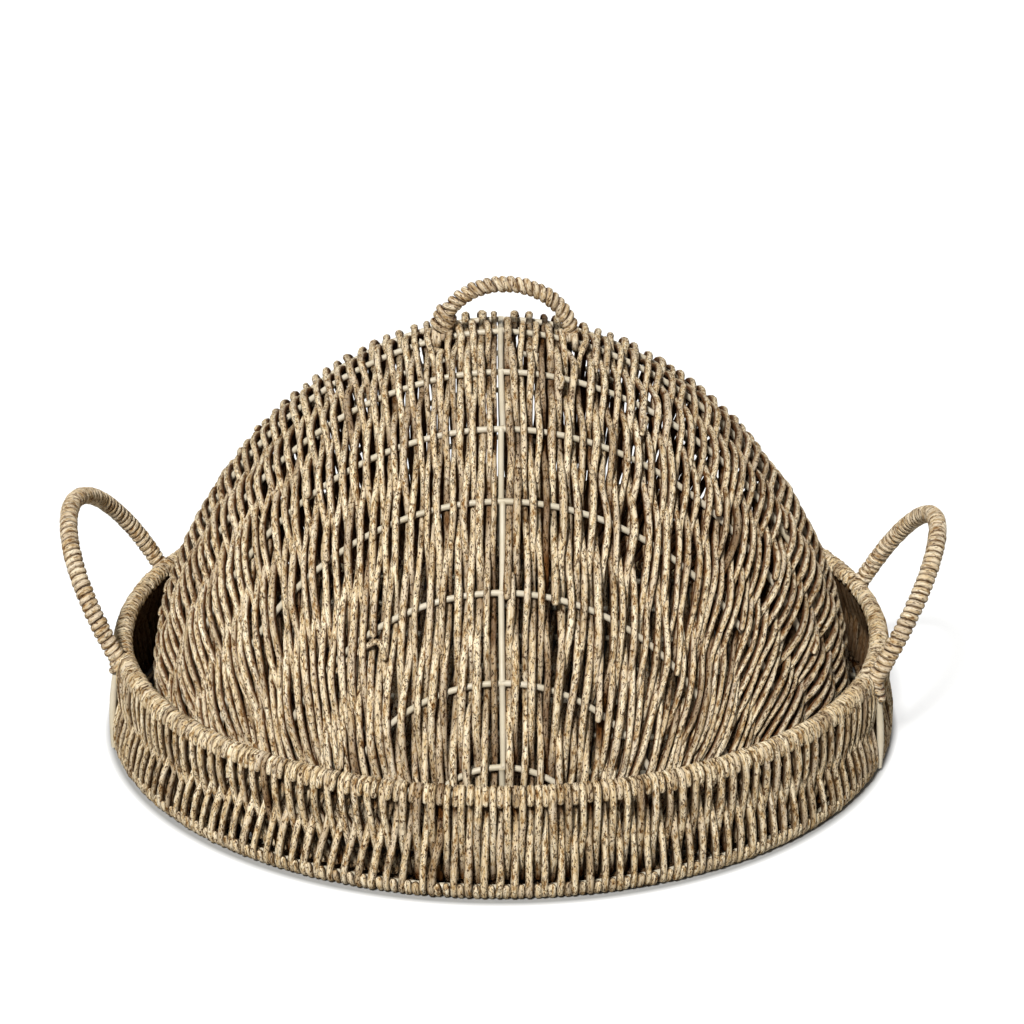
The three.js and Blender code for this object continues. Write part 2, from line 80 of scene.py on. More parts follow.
# The lid stands a little turned in the tray, as its arches show
firstArch = boxMiddle("lid_arch_01")
lidTurn = math.atan2(firstArch.x, -firstArch.y)
archPlaces = []
for number in range(1, basket["archCount"] + 1):
    place = boxMiddle(f"lid_arch_{number:02d}")
    archPlaces.append(place.y * math.cos(lidTurn) - place.x * math.sin(lidTurn))


# Nodes and materials

def addNode(tree, kind, settings=None, **links):
    node = tree.nodes.new(kind)
    for key, value in (settings or {}).items():
        setattr(node, key, value)
    for key, value in links.items():
        socket = node.inputs[int(key[1:])] if key[0] == "i" and key[1:].isdigit() else node.inputs[key]
        if isinstance(value, bpy.types.NodeSocket):
            tree.links.new(value, socket)
        else:
            socket.default_value = value
    return node


def newMaterial(name):
    material = bpy.data.materials.new(name)
    material.use_nodes = True
    tree = material.node_tree
    return material, tree, tree.nodes["Principled BSDF"]


def rampNode(tree, factor, stops):
    ramp = addNode(tree, "ShaderNodeValToRGB", Fac=factor)
    elements = ramp.color_ramp.elements
    while len(elements) < len(stops):
        elements.new(0.5)
    for element, (place, colour) in zip(elements, stops):
        element.position = place
        element.color = (*colour, 1) if len(colour) == 3 else colour
    return ramp.outputs["Color"]


def grey(value):
    return (value, value, value)


def mixColour(tree, factor, first, second, blend="MIX"):
    settings = {"data_type": "RGBA", "blend_type": blend}
    return addNode(tree, "ShaderNodeMix", settings, i0=factor, i6=first, i7=second).outputs[2]


rattanLook = {
    "light": (0.97, 0.85, 0.63),
    "tan": (0.57, 0.39, 0.175),
    "brown": (0.23, 0.105, 0.032),
    "line": (0.031, 0.011, 0.004),
    "speck": (0.07, 0.027, 0.01),
    # painted shade colour for the strands' flanks and undersides, and how far round the strand it reaches
    "flankShade": (0.09, 0.03, 0.007),
    "flankShadeReach": 0.06,
    "greyed": (0.63, 0.51, 0.37),
    "paling": 0.25,  # share of the light colour over all the skin
    "fibreScale": 1100,
    "patchScale": 410,
    "lineScale": 400,
    "speckScale": 1080,
    "speckShare": 0.602,
    "lineShare": 1.0,
    "roughness": 0.7,
    "sheen": 0.02,
}


def rattanMaterial(name, look):
    material, tree, shader = newMaterial(name)
    grain = addNode(tree, "ShaderNodeAttribute", {"attribute_name": "grain"}).outputs["Vector"]
    tone = addNode(tree, "ShaderNodeAttribute", {"attribute_name": "tone"}).outputs["Fac"]
    outward = addNode(tree, "ShaderNodeAttribute", {"attribute_name": "outward"}).outputs["Fac"]

    def noise(scale, stretch, detail=2.0, rough=0.5, warp=0.0):
        place = addNode(tree, "ShaderNodeMapping", Vector=grain, Scale=(1, 1, stretch)).outputs["Vector"]
        return addNode(tree, "ShaderNodeTexNoise", Vector=place, Scale=scale, Detail=detail,
                       Roughness=rough, Distortion=warp).outputs["Fac"]

    fibres = noise(look["fibreScale"], 0.07, 2.0, 0.6)
    patches = noise(look["patchScale"], 0.5, 3.0, 0.65)
    broad = noise(look["patchScale"] * 0.25, 0.3, 2.0)
    contours = noise(look["lineScale"], 0.42, 1.0, 0.5, 0.8)
    specks = noise(look["speckScale"], 0.45, 1.0)

    # Pale skin with long fibres, browner where it has worn
    fibre = rampNode(tree, fibres, [(0.35, grey(0)), (0.6, grey(1))])
    skin = mixColour(tree, fibre, (*look["tan"], 1), (*look["light"], 1))
    skin = mixColour(tree, look["paling"], skin, (*look["light"], 1))
    greyed = rampNode(tree, broad, [(0.5, grey(0)), (0.66, grey(0.7))])
    skin = mixColour(tree, greyed, skin, (*look["greyed"], 1))
    worn = rampNode(tree, patches, [(0.48, grey(0)), (0.6, grey(0.7)), (0.72, grey(1))])
    skin = mixColour(tree, worn, skin, (*look["tan"], 1))
    stain = rampNode(tree, patches, [(0.57, grey(0)), (0.68, grey(0.9))])
    skin = mixColour(tree, stain, skin, (*look["brown"], 1))
    # Thin dark lines that run in short arcs round the worn patches
    ridge = rampNode(tree, contours, [(0.43, grey(0)), (0.475, grey(1)), (0.52, grey(0))])
    where = rampNode(tree, patches, [(0.36, grey(0)), (0.47, grey(look["lineShare"]))])
    arcs = addNode(tree, "ShaderNodeMath", {"operation": "MULTIPLY"}, i0=ridge, i1=where).outputs[0]
    skin = mixColour(tree, arcs, skin, (*look["line"], 1))
    # Dark specks and short dashes
    dots = rampNode(tree, specks, [(look["speckShare"], grey(0)), (look["speckShare"] + 0.05, grey(0.95))])
    skin = mixColour(tree, dots, skin, (*look["speck"], 1))
    # Painted shade: all but the outer side of each strand is darkened towards a dark brown, standing for the
    # shade on its flanks and underside
    reach = look["flankShadeReach"]
    kept = rampNode(tree, outward, [(0.05, grey(0.9)), (0.3, grey(0.93)), (0.5, grey(0.96)),
                                    (0.6 + reach, grey(0.7)), (0.76 + reach, grey(0.2)),
                                    (0.9 + reach, grey(0))])
    skin = mixColour(tree, kept, skin, (*look["flankShade"], 1))
    # Each strand is a little lighter or darker than its neighbours; the same tone also carries the painted
    # shade where a strand passes under
    shade = rampNode(tree, tone, [(0.0, (0.17, 0.085, 0.034)), (0.5, (0.95, 0.93, 0.89)),
                                  (1.0, (1.1, 1.12, 1.15))])
    skin = mixColour(tree, 1.0, skin, shade, "MULTIPLY")
    tree.links.new(skin, shader.inputs["Base Color"])

    rough = look["roughness"]
    wear = rampNode(tree, fibres, [(0.3, grey(rough + 0.12)), (0.7, grey(rough - 0.12))])
    tree.links.new(wear, shader.inputs["Roughness"])
    shader.inputs["Specular IOR Level"].default_value = look["sheen"]

    hollows = addNode(tree, "ShaderNodeMath", {"operation": "MULTIPLY"}, i0=patches, i1=-1.2).outputs[0]
    height = addNode(tree, "ShaderNodeMath", {"operation": "ADD"}, i0=fibres, i1=hollows).outputs[0]
    bump = addNode(tree, "ShaderNodeBump", Strength=0.8, Distance=0.0008, Height=height)
    tree.links.new(bump.outputs["Normal"], shader.inputs["Normal"])
    return material


creamLook = {
    "paint": [(0.3, (0.57, 0.49, 0.34)), (0.55, (0.66, 0.58, 0.43)), (0.75, (0.70, 0.62, 0.48))],
    "marks": (0.42, 0.33, 0.20),
    "cloudScale": 38,
    "dustScale": 520,
}


def creamMaterial():
    material, tree, shader = newMaterial("creamPaint")
    place = addNode(tree, "ShaderNodeTexCoord").outputs["Object"]

    def noise(scale, rough):
        return addNode(tree, "ShaderNodeTexNoise", Vector=place, Scale=scale, Detail=3,
                       Roughness=rough).outputs["Fac"]

    cloud = noise(creamLook["cloudScale"], 0.6)
    dust = noise(creamLook["dustScale"], 0.65)
    paint = rampNode(tree, cloud, creamLook["paint"])
    marks = rampNode(tree, dust, [(0.62, grey(0)), (0.74, grey(0.55))])
    paint = mixColour(tree, marks, paint, (*creamLook["marks"], 1))
    tree.links.new(paint, shader.inputs["Base Color"])
    sheen = rampNode(tree, dust, [(0.35, grey(0.36)), (0.7, grey(0.6))])
    tree.links.new(sheen, shader.inputs["Roughness"])
    bump = addNode(tree, "ShaderNodeBump", Strength=0.25, Distance=0.0003, Height=dust)
    tree.links.new(bump.outputs["Normal"], shader.inputs["Normal"])
    return material


creamPaint = creamMaterial()
wovenRattan = rattanMaterial("wovenRattan", rattanLook)
# The tray's strands get a darker painted flank shade that reaches further round; the wound strands' painted
# flank shade also reaches further
trayLook = {**rattanLook, "light": (0.97, 0.84, 0.61), "tan": (0.57, 0.38, 0.16), "flankShadeReach": 0.09,
            "flankShade": (0.062, 0.029, 0.01)}
trayRattan = rattanMaterial("trayRattan", trayLook)
woundLook = {**rattanLook, "light": (0.96, 0.84, 0.64), "flankShadeReach": 0.1, "speckShare": 0.63,
             "lineShare": 0.75, "roughness": 0.58, "sheen": 0.1}
woundRattan = rattanMaterial("woundRattan", woundLook)
print("materials made")


# Wires: bent round bars

def finishPiece(piece, name, body, nodes, material):
    piece.name = name
    piece.data.name = name
    piece.data.materials.clear()
    piece.data.materials.append(material)
    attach(piece, body)
    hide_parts(*nodes)
    return piece


def bentWire(name, points, radius, body, nodes, swell=None, sides=3):
    bpy.ops.object.select_all(action="DESELECT")
    bpy.ops.curve.primitive_bezier_curve_add()
    wire = bpy.context.object
    wire.data.splines.clear()
    line = wire.data.splines.new("POLY")
    line.points.add(len(points) - 1)
    line.points.foreach_set("co", np.c_[points, np.ones(len(points))].ravel())
    if swell is not None:
        line.points.foreach_set("radius", np.asarray(swell, float))
    wire.data.dimensions = "3D"
    wire.data.bevel_depth = radius
    wire.data.bevel_resolution = sides
    wire.data.use_fill_caps = True
    bpy.ops.object.convert(target="MESH")
    wire = bpy.context.object
    bpy.ops.object.shade_smooth()
    return finishPiece(wire, name, body, nodes, creamPaint)


ringLook = {"steps": 160, "sectionSides": 12, "weldSwell": 1.16, "weldLength": 5 * mm, "merge": 0.02 * mm}


def ringWire(name, radius, height, body, node):
    # A circle spun round the middle of the basket, with the swell of its butt weld at the back
    bpy.ops.object.select_all(action="DESELECT")
    bpy.ops.mesh.primitive_circle_add(vertices=ringLook["sectionSides"], radius=basket["ringWire"] / 2,
                                      location=(0, radius, height), rotation=(0, math.pi / 2, 0))
    ring = bpy.context.object
    bpy.ops.object.transform_apply(location=True, rotation=True, scale=True)
    bpy.ops.object.mode_set(mode="EDIT")
    bpy.ops.mesh.select_all(action="SELECT")
    bpy.ops.mesh.spin(steps=ringLook["steps"], angle=2 * math.pi, center=(0, 0, 0), axis=(0, 0, 1))
    bpy.ops.mesh.select_all(action="SELECT")
    bpy.ops.mesh.remove_doubles(threshold=ringLook["merge"])
    bpy.ops.mesh.normals_make_consistent(inside=False)
    bpy.ops.object.mode_set(mode="OBJECT")
    bpy.ops.object.shade_smooth()
    for vertex in ring.data.vertices:
        along = math.atan2(vertex.co.x, vertex.co.y) * radius
        swell = 1 + (ringLook["weldSwell"] - 1) * math.exp(-(along / ringLook["weldLength"]) ** 2)
        flat = Vector((vertex.co.x, vertex.co.y, 0)).normalized() * radius
        middle = Vector((flat.x, flat.y, height))
        vertex.co = middle + (vertex.co - middle) * swell
    return finishPiece(ring, name, body, [node], creamPaint)


# Strands: lumpy round tubes with rounded ends, gathered into one mesh

def gentleWave(place, length, rng):
    total = 0
    for share in (0.7, 1.0, 1.7):
        total = total + np.sin(2 * np.pi * place / (length * share) + rng.uniform(0, 2 * np.pi))
    return total / 2


def unevenLine(places, spacing, size, rng):
    # Straight stretches between random knots
    knots = [places[0] - spacing * rng.uniform(0.1, 1)]
    while knots[-1] < places[-1]:
        knots.append(knots[-1] + spacing * rng.uniform(0.65, 1.35))
    return np.interp(places, knots, size * rng.normal(size=len(knots)))


def unit(vectors):
    return vectors / np.maximum(np.linalg.norm(vectors, axis=-1, keepdims=True), 1e-12)


def lengthAlong(points):
    return np.concatenate([[0], np.cumsum(np.linalg.norm(np.diff(points, axis=0), axis=1))])


def pointsAt(places, walked, points):
    return np.stack([np.interp(places, walked, points[:, k]) for k in range(3)], 1)


def eased(points, times):
    for k in range(times):
        points[1:-1] = (points[:-2] + 2 * points[1:-1] + points[2:]) / 4
    return points


def newBundle():
    return {"verts": [], "quads": [], "grain": [], "tone": [], "outward": [], "count": 0}


strandLook = {
    "tipPlaces": np.array([0, 0.28, 0.8]),  # shares of the strand's radius at its rounded ends
    "tipSizes": np.array([0.4, 0.78, 0.97]),
    "lumpLength": 24 * mm,
    "knotLength": 8 * mm,
    "squashLength": 17 * mm,
    "twistLength": 60 * mm,
    "shadeLength": 110 * mm,
    "spotLength": 25 * mm,
}


def addStrand(bundle, points, outs, rng, width, thick, step, sides=8, toneMiddle=0.5, lump=0.05, square=2.0,
              shade=None, widen=None):
    look = strandLook
    walked = lengthAlong(points)
    length = walked[-1]
    nose = look["tipPlaces"] * width / 2
    count = max(int(round((length - 2 * nose[-1]) / step)), 2)
    inner = np.linspace(nose[-1], length - nose[-1], count + 1)[1:-1]
    places = np.concatenate([nose, inner, length - nose[::-1]])
    path = pointsAt(places, walked, points)
    outward = pointsAt(places, walked, outs)
    ways = unit(np.gradient(path, axis=0))
    side = unit(np.cross(ways, outward))
    up = np.cross(side, ways)

    size = 1 + lump * gentleWave(places, look["lumpLength"], rng)
    size = size + 0.6 * lump * gentleWave(places, look["knotLength"], rng)
    size[:3] *= look["tipSizes"]
    size[-3:] *= look["tipSizes"][::-1]
    angles = 2 * np.pi * (np.arange(sides) + 0.5) / sides
    squash = 0.5 * lump * gentleWave(places, look["squashLength"], rng)
    phase = rng.uniform(0, 2 * np.pi) + 1.3 * gentleWave(places, look["twistLength"], rng)
    knobs = 1 + squash[:, None] * np.cos(2 * angles[None, :] + phase[:, None])
    knobs = knobs + 0.35 * lump * np.cos(3 * angles[None, :] - 2 * phase[:, None])
    corner = (np.abs(np.cos(angles)) ** square + np.abs(np.sin(angles)) ** square) ** (-1 / square)
    broad = size if widen is None else size * np.interp(places, walked, widen)
    across = width / 2 * broad[:, None] * knobs * (corner * np.cos(angles))[None, :]
    outwards = thick / 2 * size[:, None] * knobs * (corner * np.sin(angles))[None, :]
    verts = path[:, None, :] + side[:, None, :] * across[..., None] + up[:, None, :] * outwards[..., None]

    rings = len(places)
    start = bundle["count"]
    index = start + np.arange(rings * sides).reshape(rings, sides)
    here, there = index[:-1], index[1:]
    quads = np.stack([here, there, np.roll(there, -1, 1), np.roll(here, -1, 1)], -1).reshape(-1, 4)
    caps = []
    for ring, order in ((index[0], 1), (index[-1], -1)):
        for k in range(sides // 2 - 1):
            caps.append([ring[k], ring[k + 1], ring[sides - 2 - k], ring[sides - 1 - k]][::order])
    offset = rng.uniform(-2, 2, 3)
    grain = np.stack([across, outwards, np.broadcast_to(places[:, None], across.shape)], -1) + offset
    facing = 0.5 + 0.5 * np.sin(angles)
    tone = toneMiddle + 0.12 * gentleWave(places, look["shadeLength"], rng)
    tone = tone + 0.05 * gentleWave(places, look["spotLength"], rng)
    tone = np.repeat(tone[:, None], sides, 1)
    # The shade given here is painted shade, added to the tone mostly on the strand's outer side
    if shade is not None:
        tone = tone + np.outer(np.interp(places, walked, shade), facing)
    bundle["verts"].append(verts.reshape(-1, 3))
    bundle["quads"].append(quads)
    bundle["quads"].append(np.array(caps))
    bundle["grain"].append(grain.reshape(-1, 3))
    bundle["tone"].append(tone.ravel())
    bundle["outward"].append(np.tile(facing, rings))
    bundle["count"] += rings * sides


def turnedLid(points):
    c, s = math.cos(lidTurn), math.sin(lidTurn)
    return points @ np.array([[c, s, 0], [-s, c, 0], [0, 0, 1]])


def bundlePiece(name, bundle, body, nodes, material):
    verts = np.concatenate(bundle["verts"])
    if body == "lid":
        verts = turnedLid(verts)
    mesh = bpy.data.meshes.new(name)
    mesh.from_pydata(verts.tolist(), [], np.concatenate(bundle["quads"]).tolist(), shade_flat=False)
    grain = mesh.attributes.new("grain", "FLOAT_VECTOR", "POINT")
    grain.data.foreach_set("vector", np.concatenate(bundle["grain"]).ravel())
    tone = mesh.attributes.new("tone", "FLOAT", "POINT")
    tone.data.foreach_set("value", np.clip(np.concatenate(bundle["tone"]), 0, 1))
    outward = mesh.attributes.new("outward", "FLOAT", "POINT")
    outward.data.foreach_set("value", np.concatenate(bundle["outward"]))
    piece = bpy.data.objects.new(name, mesh)
    bpy.context.collection.objects.link(piece)
    finishPiece(piece, name, body, nodes, material)
    print(name, len(mesh.polygons) * 2, "triangles")
    return piece


# The dome's shape, as in the CAD

def domeHeightAt(radius):
    share = np.maximum(1 - (radius / basket["domeRadius"]) ** basket["domeRoundness"], 0)
    return basket["domeHeight"] * share ** (1 / basket["domeRoundness"])


def domeStation(x, y):
    radius = np.maximum(np.hypot(x, y), 1e-9)
    height = domeHeightAt(radius)
    power = basket["domeRoundness"] - 1
    run = (radius / basket["domeRadius"]) ** power / basket["domeRadius"]
    climb = (height / basket["domeHeight"]) ** power / basket["domeHeight"]
    out = unit(np.stack([run * x / radius, run * y / radius, climb], -1))
    along = unit(np.stack([out[..., 2], np.zeros_like(radius), -out[..., 0]], -1))
    middle = np.stack([x + 0 * y, y + 0 * x, basket["domeBase"] + height], -1)
    return middle, out, along


def walkAlong(x, height):
    return np.concatenate([[0], np.cumsum(np.hypot(np.diff(x), np.diff(height)))])


domeSteps = {"profile": 1601, "sections": 361, "arch": 260}
profilePlaces = basket["domeRadius"] * np.sin(np.linspace(-np.pi / 2, np.pi / 2, domeSteps["profile"]))
profileWalk = walkAlong(profilePlaces, domeHeightAt(np.abs(profilePlaces)))
profileWalk -= profileWalk[-1] / 2
archRibLengths = np.interp(archPlaces, profilePlaces, profileWalk)
# Lid frame
archLook = {"steps": 96, "seatShare": 0.8}
for number, y in enumerate(archPlaces, 1):
    halfSpan = math.sqrt(basket["domeRadius"] ** 2 - y ** 2)
    angles = np.linspace(0, math.pi, archLook["steps"] + 1)
    middle, out, along = domeStation(halfSpan * np.cos(angles), np.full(len(angles), y))
    feet = middle[[0, -1]].copy()
    feet[:, 2] = lidRingHeight + basket["ringWire"] / 2 * archLook["seatShare"]
    middle = np.concatenate([feet[:1], middle, feet[1:]])
    bentWire(f"lidArch{number:02d}", turnedLid(middle), basket["archWire"] / 2, "lid",
             [f"lid_arch_{number:02d}"])

ribLook = {
    "sway": 0.5 * mm,
    "tilt": 0.7 * mm,
    "fillet": 1.35,  # how much thicker at a weld, and halfway out of it
    "halfFillet": 1.12,
    "filletLength": 2.2 * mm,
    "sink": 1.2 * mm,
    "wireShare": 0.97,
    "seed": 41,
}
rng = np.random.default_rng(ribLook["seed"])
ribStops = [-basket["domeRadius"], *archPlaces, basket["domeRadius"]]
for number in range(1, len(ribStops)):
    ends = np.array([ribStops[number - 1], ribStops[number]])
    middle, out, along = domeStation(np.zeros(2), ends)
    for k, stop in enumerate(ends):
        if abs(stop) == basket["domeRadius"]:
            middle[k, 2] = lidRingHeight + basket["ringWire"] / 2
    way = unit(middle[1] - middle[0])
    length = np.linalg.norm(middle[1] - middle[0])
    sway = rng.uniform(-ribLook["sway"], ribLook["sway"])
    middle[:, 0] += sway + rng.uniform(-ribLook["tilt"], ribLook["tilt"], 2)
    start = basket["archWire"] / 2 - ribLook["sink"]
    places = np.array([start, start + ribLook["filletLength"] * 0.5, start + ribLook["filletLength"]])
    places = np.concatenate([places, [length / 2], length - places[::-1]])
    points = middle[0] + np.outer(places / length, middle[1] - middle[0])
    swell = [ribLook["fillet"], ribLook["halfFillet"], 1, 1, 1, ribLook["halfFillet"], ribLook["fillet"]]
    bentWire(f"lidRib{number:02d}", turnedLid(points), basket["archWire"] / 2 * ribLook["wireShare"], "lid",
             [f"lid_rib_{number:02d}"], swell)
ringWire("lidBaseRing", lidRingRadius, lidRingHeight, "lid", "lid_base_ring")
print("lid frame made")

# Lid weave: strands from front to back, over one arch and under the next
lidWeave = {
    "pitch": {-1: 4.4 * mm, 1: 4.5 * mm},  # over the top, left and right of the rib
    "besideRib": 3.95 * mm,
    "gather": {-1: 3 * mm, 1: 34 * mm},  # how far the strands draw together towards the two ends
    "gatherLength": 240 * mm,
    "gatherReach": 180 * mm,
    "gatherFade": 260 * mm,
    "belly": 7 * mm,  # the left strands bow inwards on their way to the front, and spread at their feet
    "bellyLength": 260 * mm,
    "bellyReach": 90 * mm,
    "flare": 11 * mm,
    "flareStart": 195 * mm,
    "flareLength": 110 * mm,
    "closing": 60 * mm,  # the way in which neighbours close up behind a cut strand
    "closingStart": 4 * mm,
    "lift": 4.1 * mm,
    # painted shade: strands are drawn darker where they pass under an arch, where shade falls
    "underShade": 0.36,  # how much darker a strand is where it passes under
    "width": 4.3 * mm,
    "thick": 4.1 * mm,
    "widthSpread": 0.08,
    "widthShares": (0.78, 1.03),  # least and greatest width, as its neighbours leave room
    "flattened": 0.12,  # how much wider where it bends over an arch
    "lump": 0.07,
    "tone": (0.58, 0.13),
    "crossing": 0.22,  # how unevenly neighbours change places between two arches
    "step": 4.0 * mm,
    "sway": 0.6 * mm,
    "swayLength": 27 * mm,
    "slant": 0.62 * mm,
    "slantLength": 62 * mm,
    "unruly": 190 * mm,  # at this distance from the rib, low at the front, strands wander twice as far
    "unrulyLength": 100 * mm,
    "drift": 0.7 * mm,
    "bounce": 0.35 * mm,
    "bounceLength": 60 * mm,
    "endLength": 20 * mm,  # strands settle into place this far from their ends
    "shortEnd": 21 * mm,  # an end nearer than this to its last arch stays on the same side of it
    "ribGap": 0.3 * mm,
    "footPush": 6.4 * mm,
    "footReach": 7 * mm,
    "footLength": 20 * mm,
    "seed": 7,
}
lidHandle = {"wire": 3.6 * mm, "span": 82 * mm, "rise": 36.5 * mm, "shift": 3 * mm, "gap": 0.3 * mm}

wrap = basket["ringWire"] / 2 + basket["strand"] / 2 + 0.05 * mm


def ringTurn(startDegrees, endDegrees, steps, radius=wrap):
    angles = np.radians(np.linspace(startDegrees, endDegrees, steps))
    return np.stack([radius * np.cos(angles), radius * np.sin(angles)], 1)


def placesAlongArch(y):
    # Distance across from the rib against length along the arch at each place towards the back
    halfSpan = np.sqrt(max(basket["domeRadius"] ** 2 - y ** 2, 0))
    x = halfSpan * np.sin(np.linspace(0, np.pi / 2, domeSteps["arch"]))
    return x, walkAlong(x, domeHeightAt(np.hypot(x, y)))


sectionPlaces = basket["domeRadius"] * np.sin(np.linspace(-np.pi / 2, np.pi / 2, domeSteps["sections"]))
sections = [placesAlongArch(y) for y in sectionPlaces]
sectionReach = np.array([walk[-1] for x, walk in sections])
sectionRib = np.interp(sectionPlaces, profilePlaces, profileWalk)
middleArchReach = sectionReach.max()

# Strands cut off on their way to the front: distance from the rib, and length along it
cutPlaces = {-1: [(78.5 * mm, -215 * mm)],
             1: [(32.5 * mm, -214 * mm), (55 * mm, -267 * mm), (109 * mm, -216 * mm), (165 * mm, -164 * mm),
                 (138 * mm, -105 * mm), (192 * mm, -110 * mm), (205 * mm, -60 * mm)]}

driftRng = np.random.default_rng(lidWeave["seed"])
driftWaves = []
for number in range(6):
    driftWaves.append((driftRng.uniform(40, 110), driftRng.uniform(-35, 35), driftRng.uniform(0, 6.3)))


def lidDrift(across, ribLength):
    # Neighbouring strands wander together
    total = 0
    for acrossRate, ribRate, phase in driftWaves:
        total = total + np.sin(acrossRate * across + ribRate * ribLength + phase)
    return lidWeave["drift"] * total / math.sqrt(len(driftWaves) / 2) * 0.5


def smooth(share):
    share = np.clip(share, 0, 1)
    return share * share * (3 - 2 * share)


def lidAcross(hand, number, ribLength):
    # Distance from the rib. Strands draw together towards both ends, and close up behind a cut one
    across = lidWeave["besideRib"] + number * lidWeave["pitch"][hand]
    way = np.abs(ribLength) / lidWeave["gatherLength"]
    share = (across / lidWeave["gatherReach"]) ** 3 / (1 + (across / lidWeave["gatherFade"]) ** 3)
    place = across - lidWeave["gather"][hand] * share * (smooth(way) + np.clip(way, 0, 1)) / 2
    if hand < 0:
        bow = np.sin(np.pi * np.clip(-ribLength / lidWeave["bellyLength"], 0, 1))
        spread = smooth((-ribLength - lidWeave["flareStart"]) / lidWeave["flareLength"])
        wide = min(across / lidWeave["bellyReach"], 1)
        place = place - wide * (lidWeave["belly"] * bow - lidWeave["flare"] * spread)
    for cut, start in cutStrands[hand]:
        if number > cut:
            closed = smooth((start - lidWeave["closingStart"] - ribLength) / lidWeave["closing"])
            place = place - lidWeave["pitch"][hand] * closed
    return place


def overAt(hand, number, arch):
    return (number + arch) % 2 == (1 if hand > 0 else 0)


def strandNear(hand, across, ribLength, arch):
    # The strand nearest to a place, of those that pass over the arch there
    count = int(middleArchReach / lidWeave["pitch"][hand])
    numbers = [number for number in range(count) if overAt(hand, number, arch)]
    return min(numbers, key=lambda number: abs(lidAcross(hand, number, ribLength) - across))


cutLook = {
    "seek": 6 * mm,  # a strand is cut off on the arch nearest to this far behind the given place
    "past": 6.5 * mm,
    "lift": 0.9 * mm,
    "length": 16 * mm,
}
cutStrands = {-1: [], 1: []}
for hand in (-1, 1):
    for across, ribLength in cutPlaces[hand]:
        arch = int(np.argmin(np.abs(archRibLengths - ribLength - cutLook["seek"]))) + 1
        cut = strandNear(hand, across, ribLength, arch)
        cutStrands[hand].append((cut, archRibLengths[arch - 1] - cutLook["past"]))


def lidLevels(hand, number, ribLength, rng):
    # Over (1) or under (-1) at each arch and at the ring where it ends, and all the way between them
    knots, levels = [], []
    for arch, place in enumerate(archRibLengths, 1):
        if ribLength[0] < place < ribLength[-1]:
            knots.append(place)
            levels.append(1.0 if overAt(hand, number, arch) else -1.0)
    ends = []
    for end in (0, -1):
        short = abs(ribLength[end] - knots[end]) < lidWeave["shortEnd"]
        ends.append(levels[end] if short else -levels[end])
    knots = np.array([ribLength[0], *knots, ribLength[-1]])
    levels = np.array([ends[0], *levels, ends[1]])
    slot = np.clip(np.searchsorted(knots, ribLength) - 1, 0, len(knots) - 2)
    share = np.clip((ribLength - knots[slot]) / np.maximum(knots[slot + 1] - knots[slot], 1e-6), 0, 1)
    share = share ** np.exp(lidWeave["crossing"] * rng.normal(size=len(knots)))[slot]
    return levels[slot] + (levels[slot + 1] - levels[slot]) * (1 - np.cos(np.pi * share)) / 2, ends


def roundMiddle(radii, angles, heights):
    return np.stack([radii * np.cos(angles), radii * np.sin(angles), heights], 1)


lidTail = {
    "outsideTurn": (20, -215),  # degrees round the base ring
    "insideTurn": (160, 385),
    "steps": 14,
    "stubOut": 0.2 * mm,
    "stubLength": (1.0, 2.2),  # mm
    "slide": 9,  # mm
    "reach": 30 * mm,
}


def ringTail(outside, start, inward, rng):
    # The end of a strand, turned round the base ring
    turn = ringTurn(*lidTail["outsideTurn" if outside else "insideTurn"], lidTail["steps"])
    stub = turn[-1] + np.outer([1, 2], [lidTail["stubOut"], rng.uniform(*lidTail["stubLength"]) * mm])
    section = np.concatenate([turn, stub])
    angle = math.atan2(start[1], start[0])
    tangent = np.array([-math.sin(angle), math.cos(angle), 0])
    slide = -float(inward @ tangent) * np.linspace(0, 1, len(section)) * lidTail["slide"] * mm
    angles = angle + slide / lidRingRadius
    tail = roundMiddle(lidRingRadius + section[:, 0], angles, lidRingHeight + section[:, 1])
    centre = roundMiddle(lidRingRadius, angles, np.full(len(section), lidRingHeight))
    return tail, unit(tail - centre) * (1 if outside else -1)


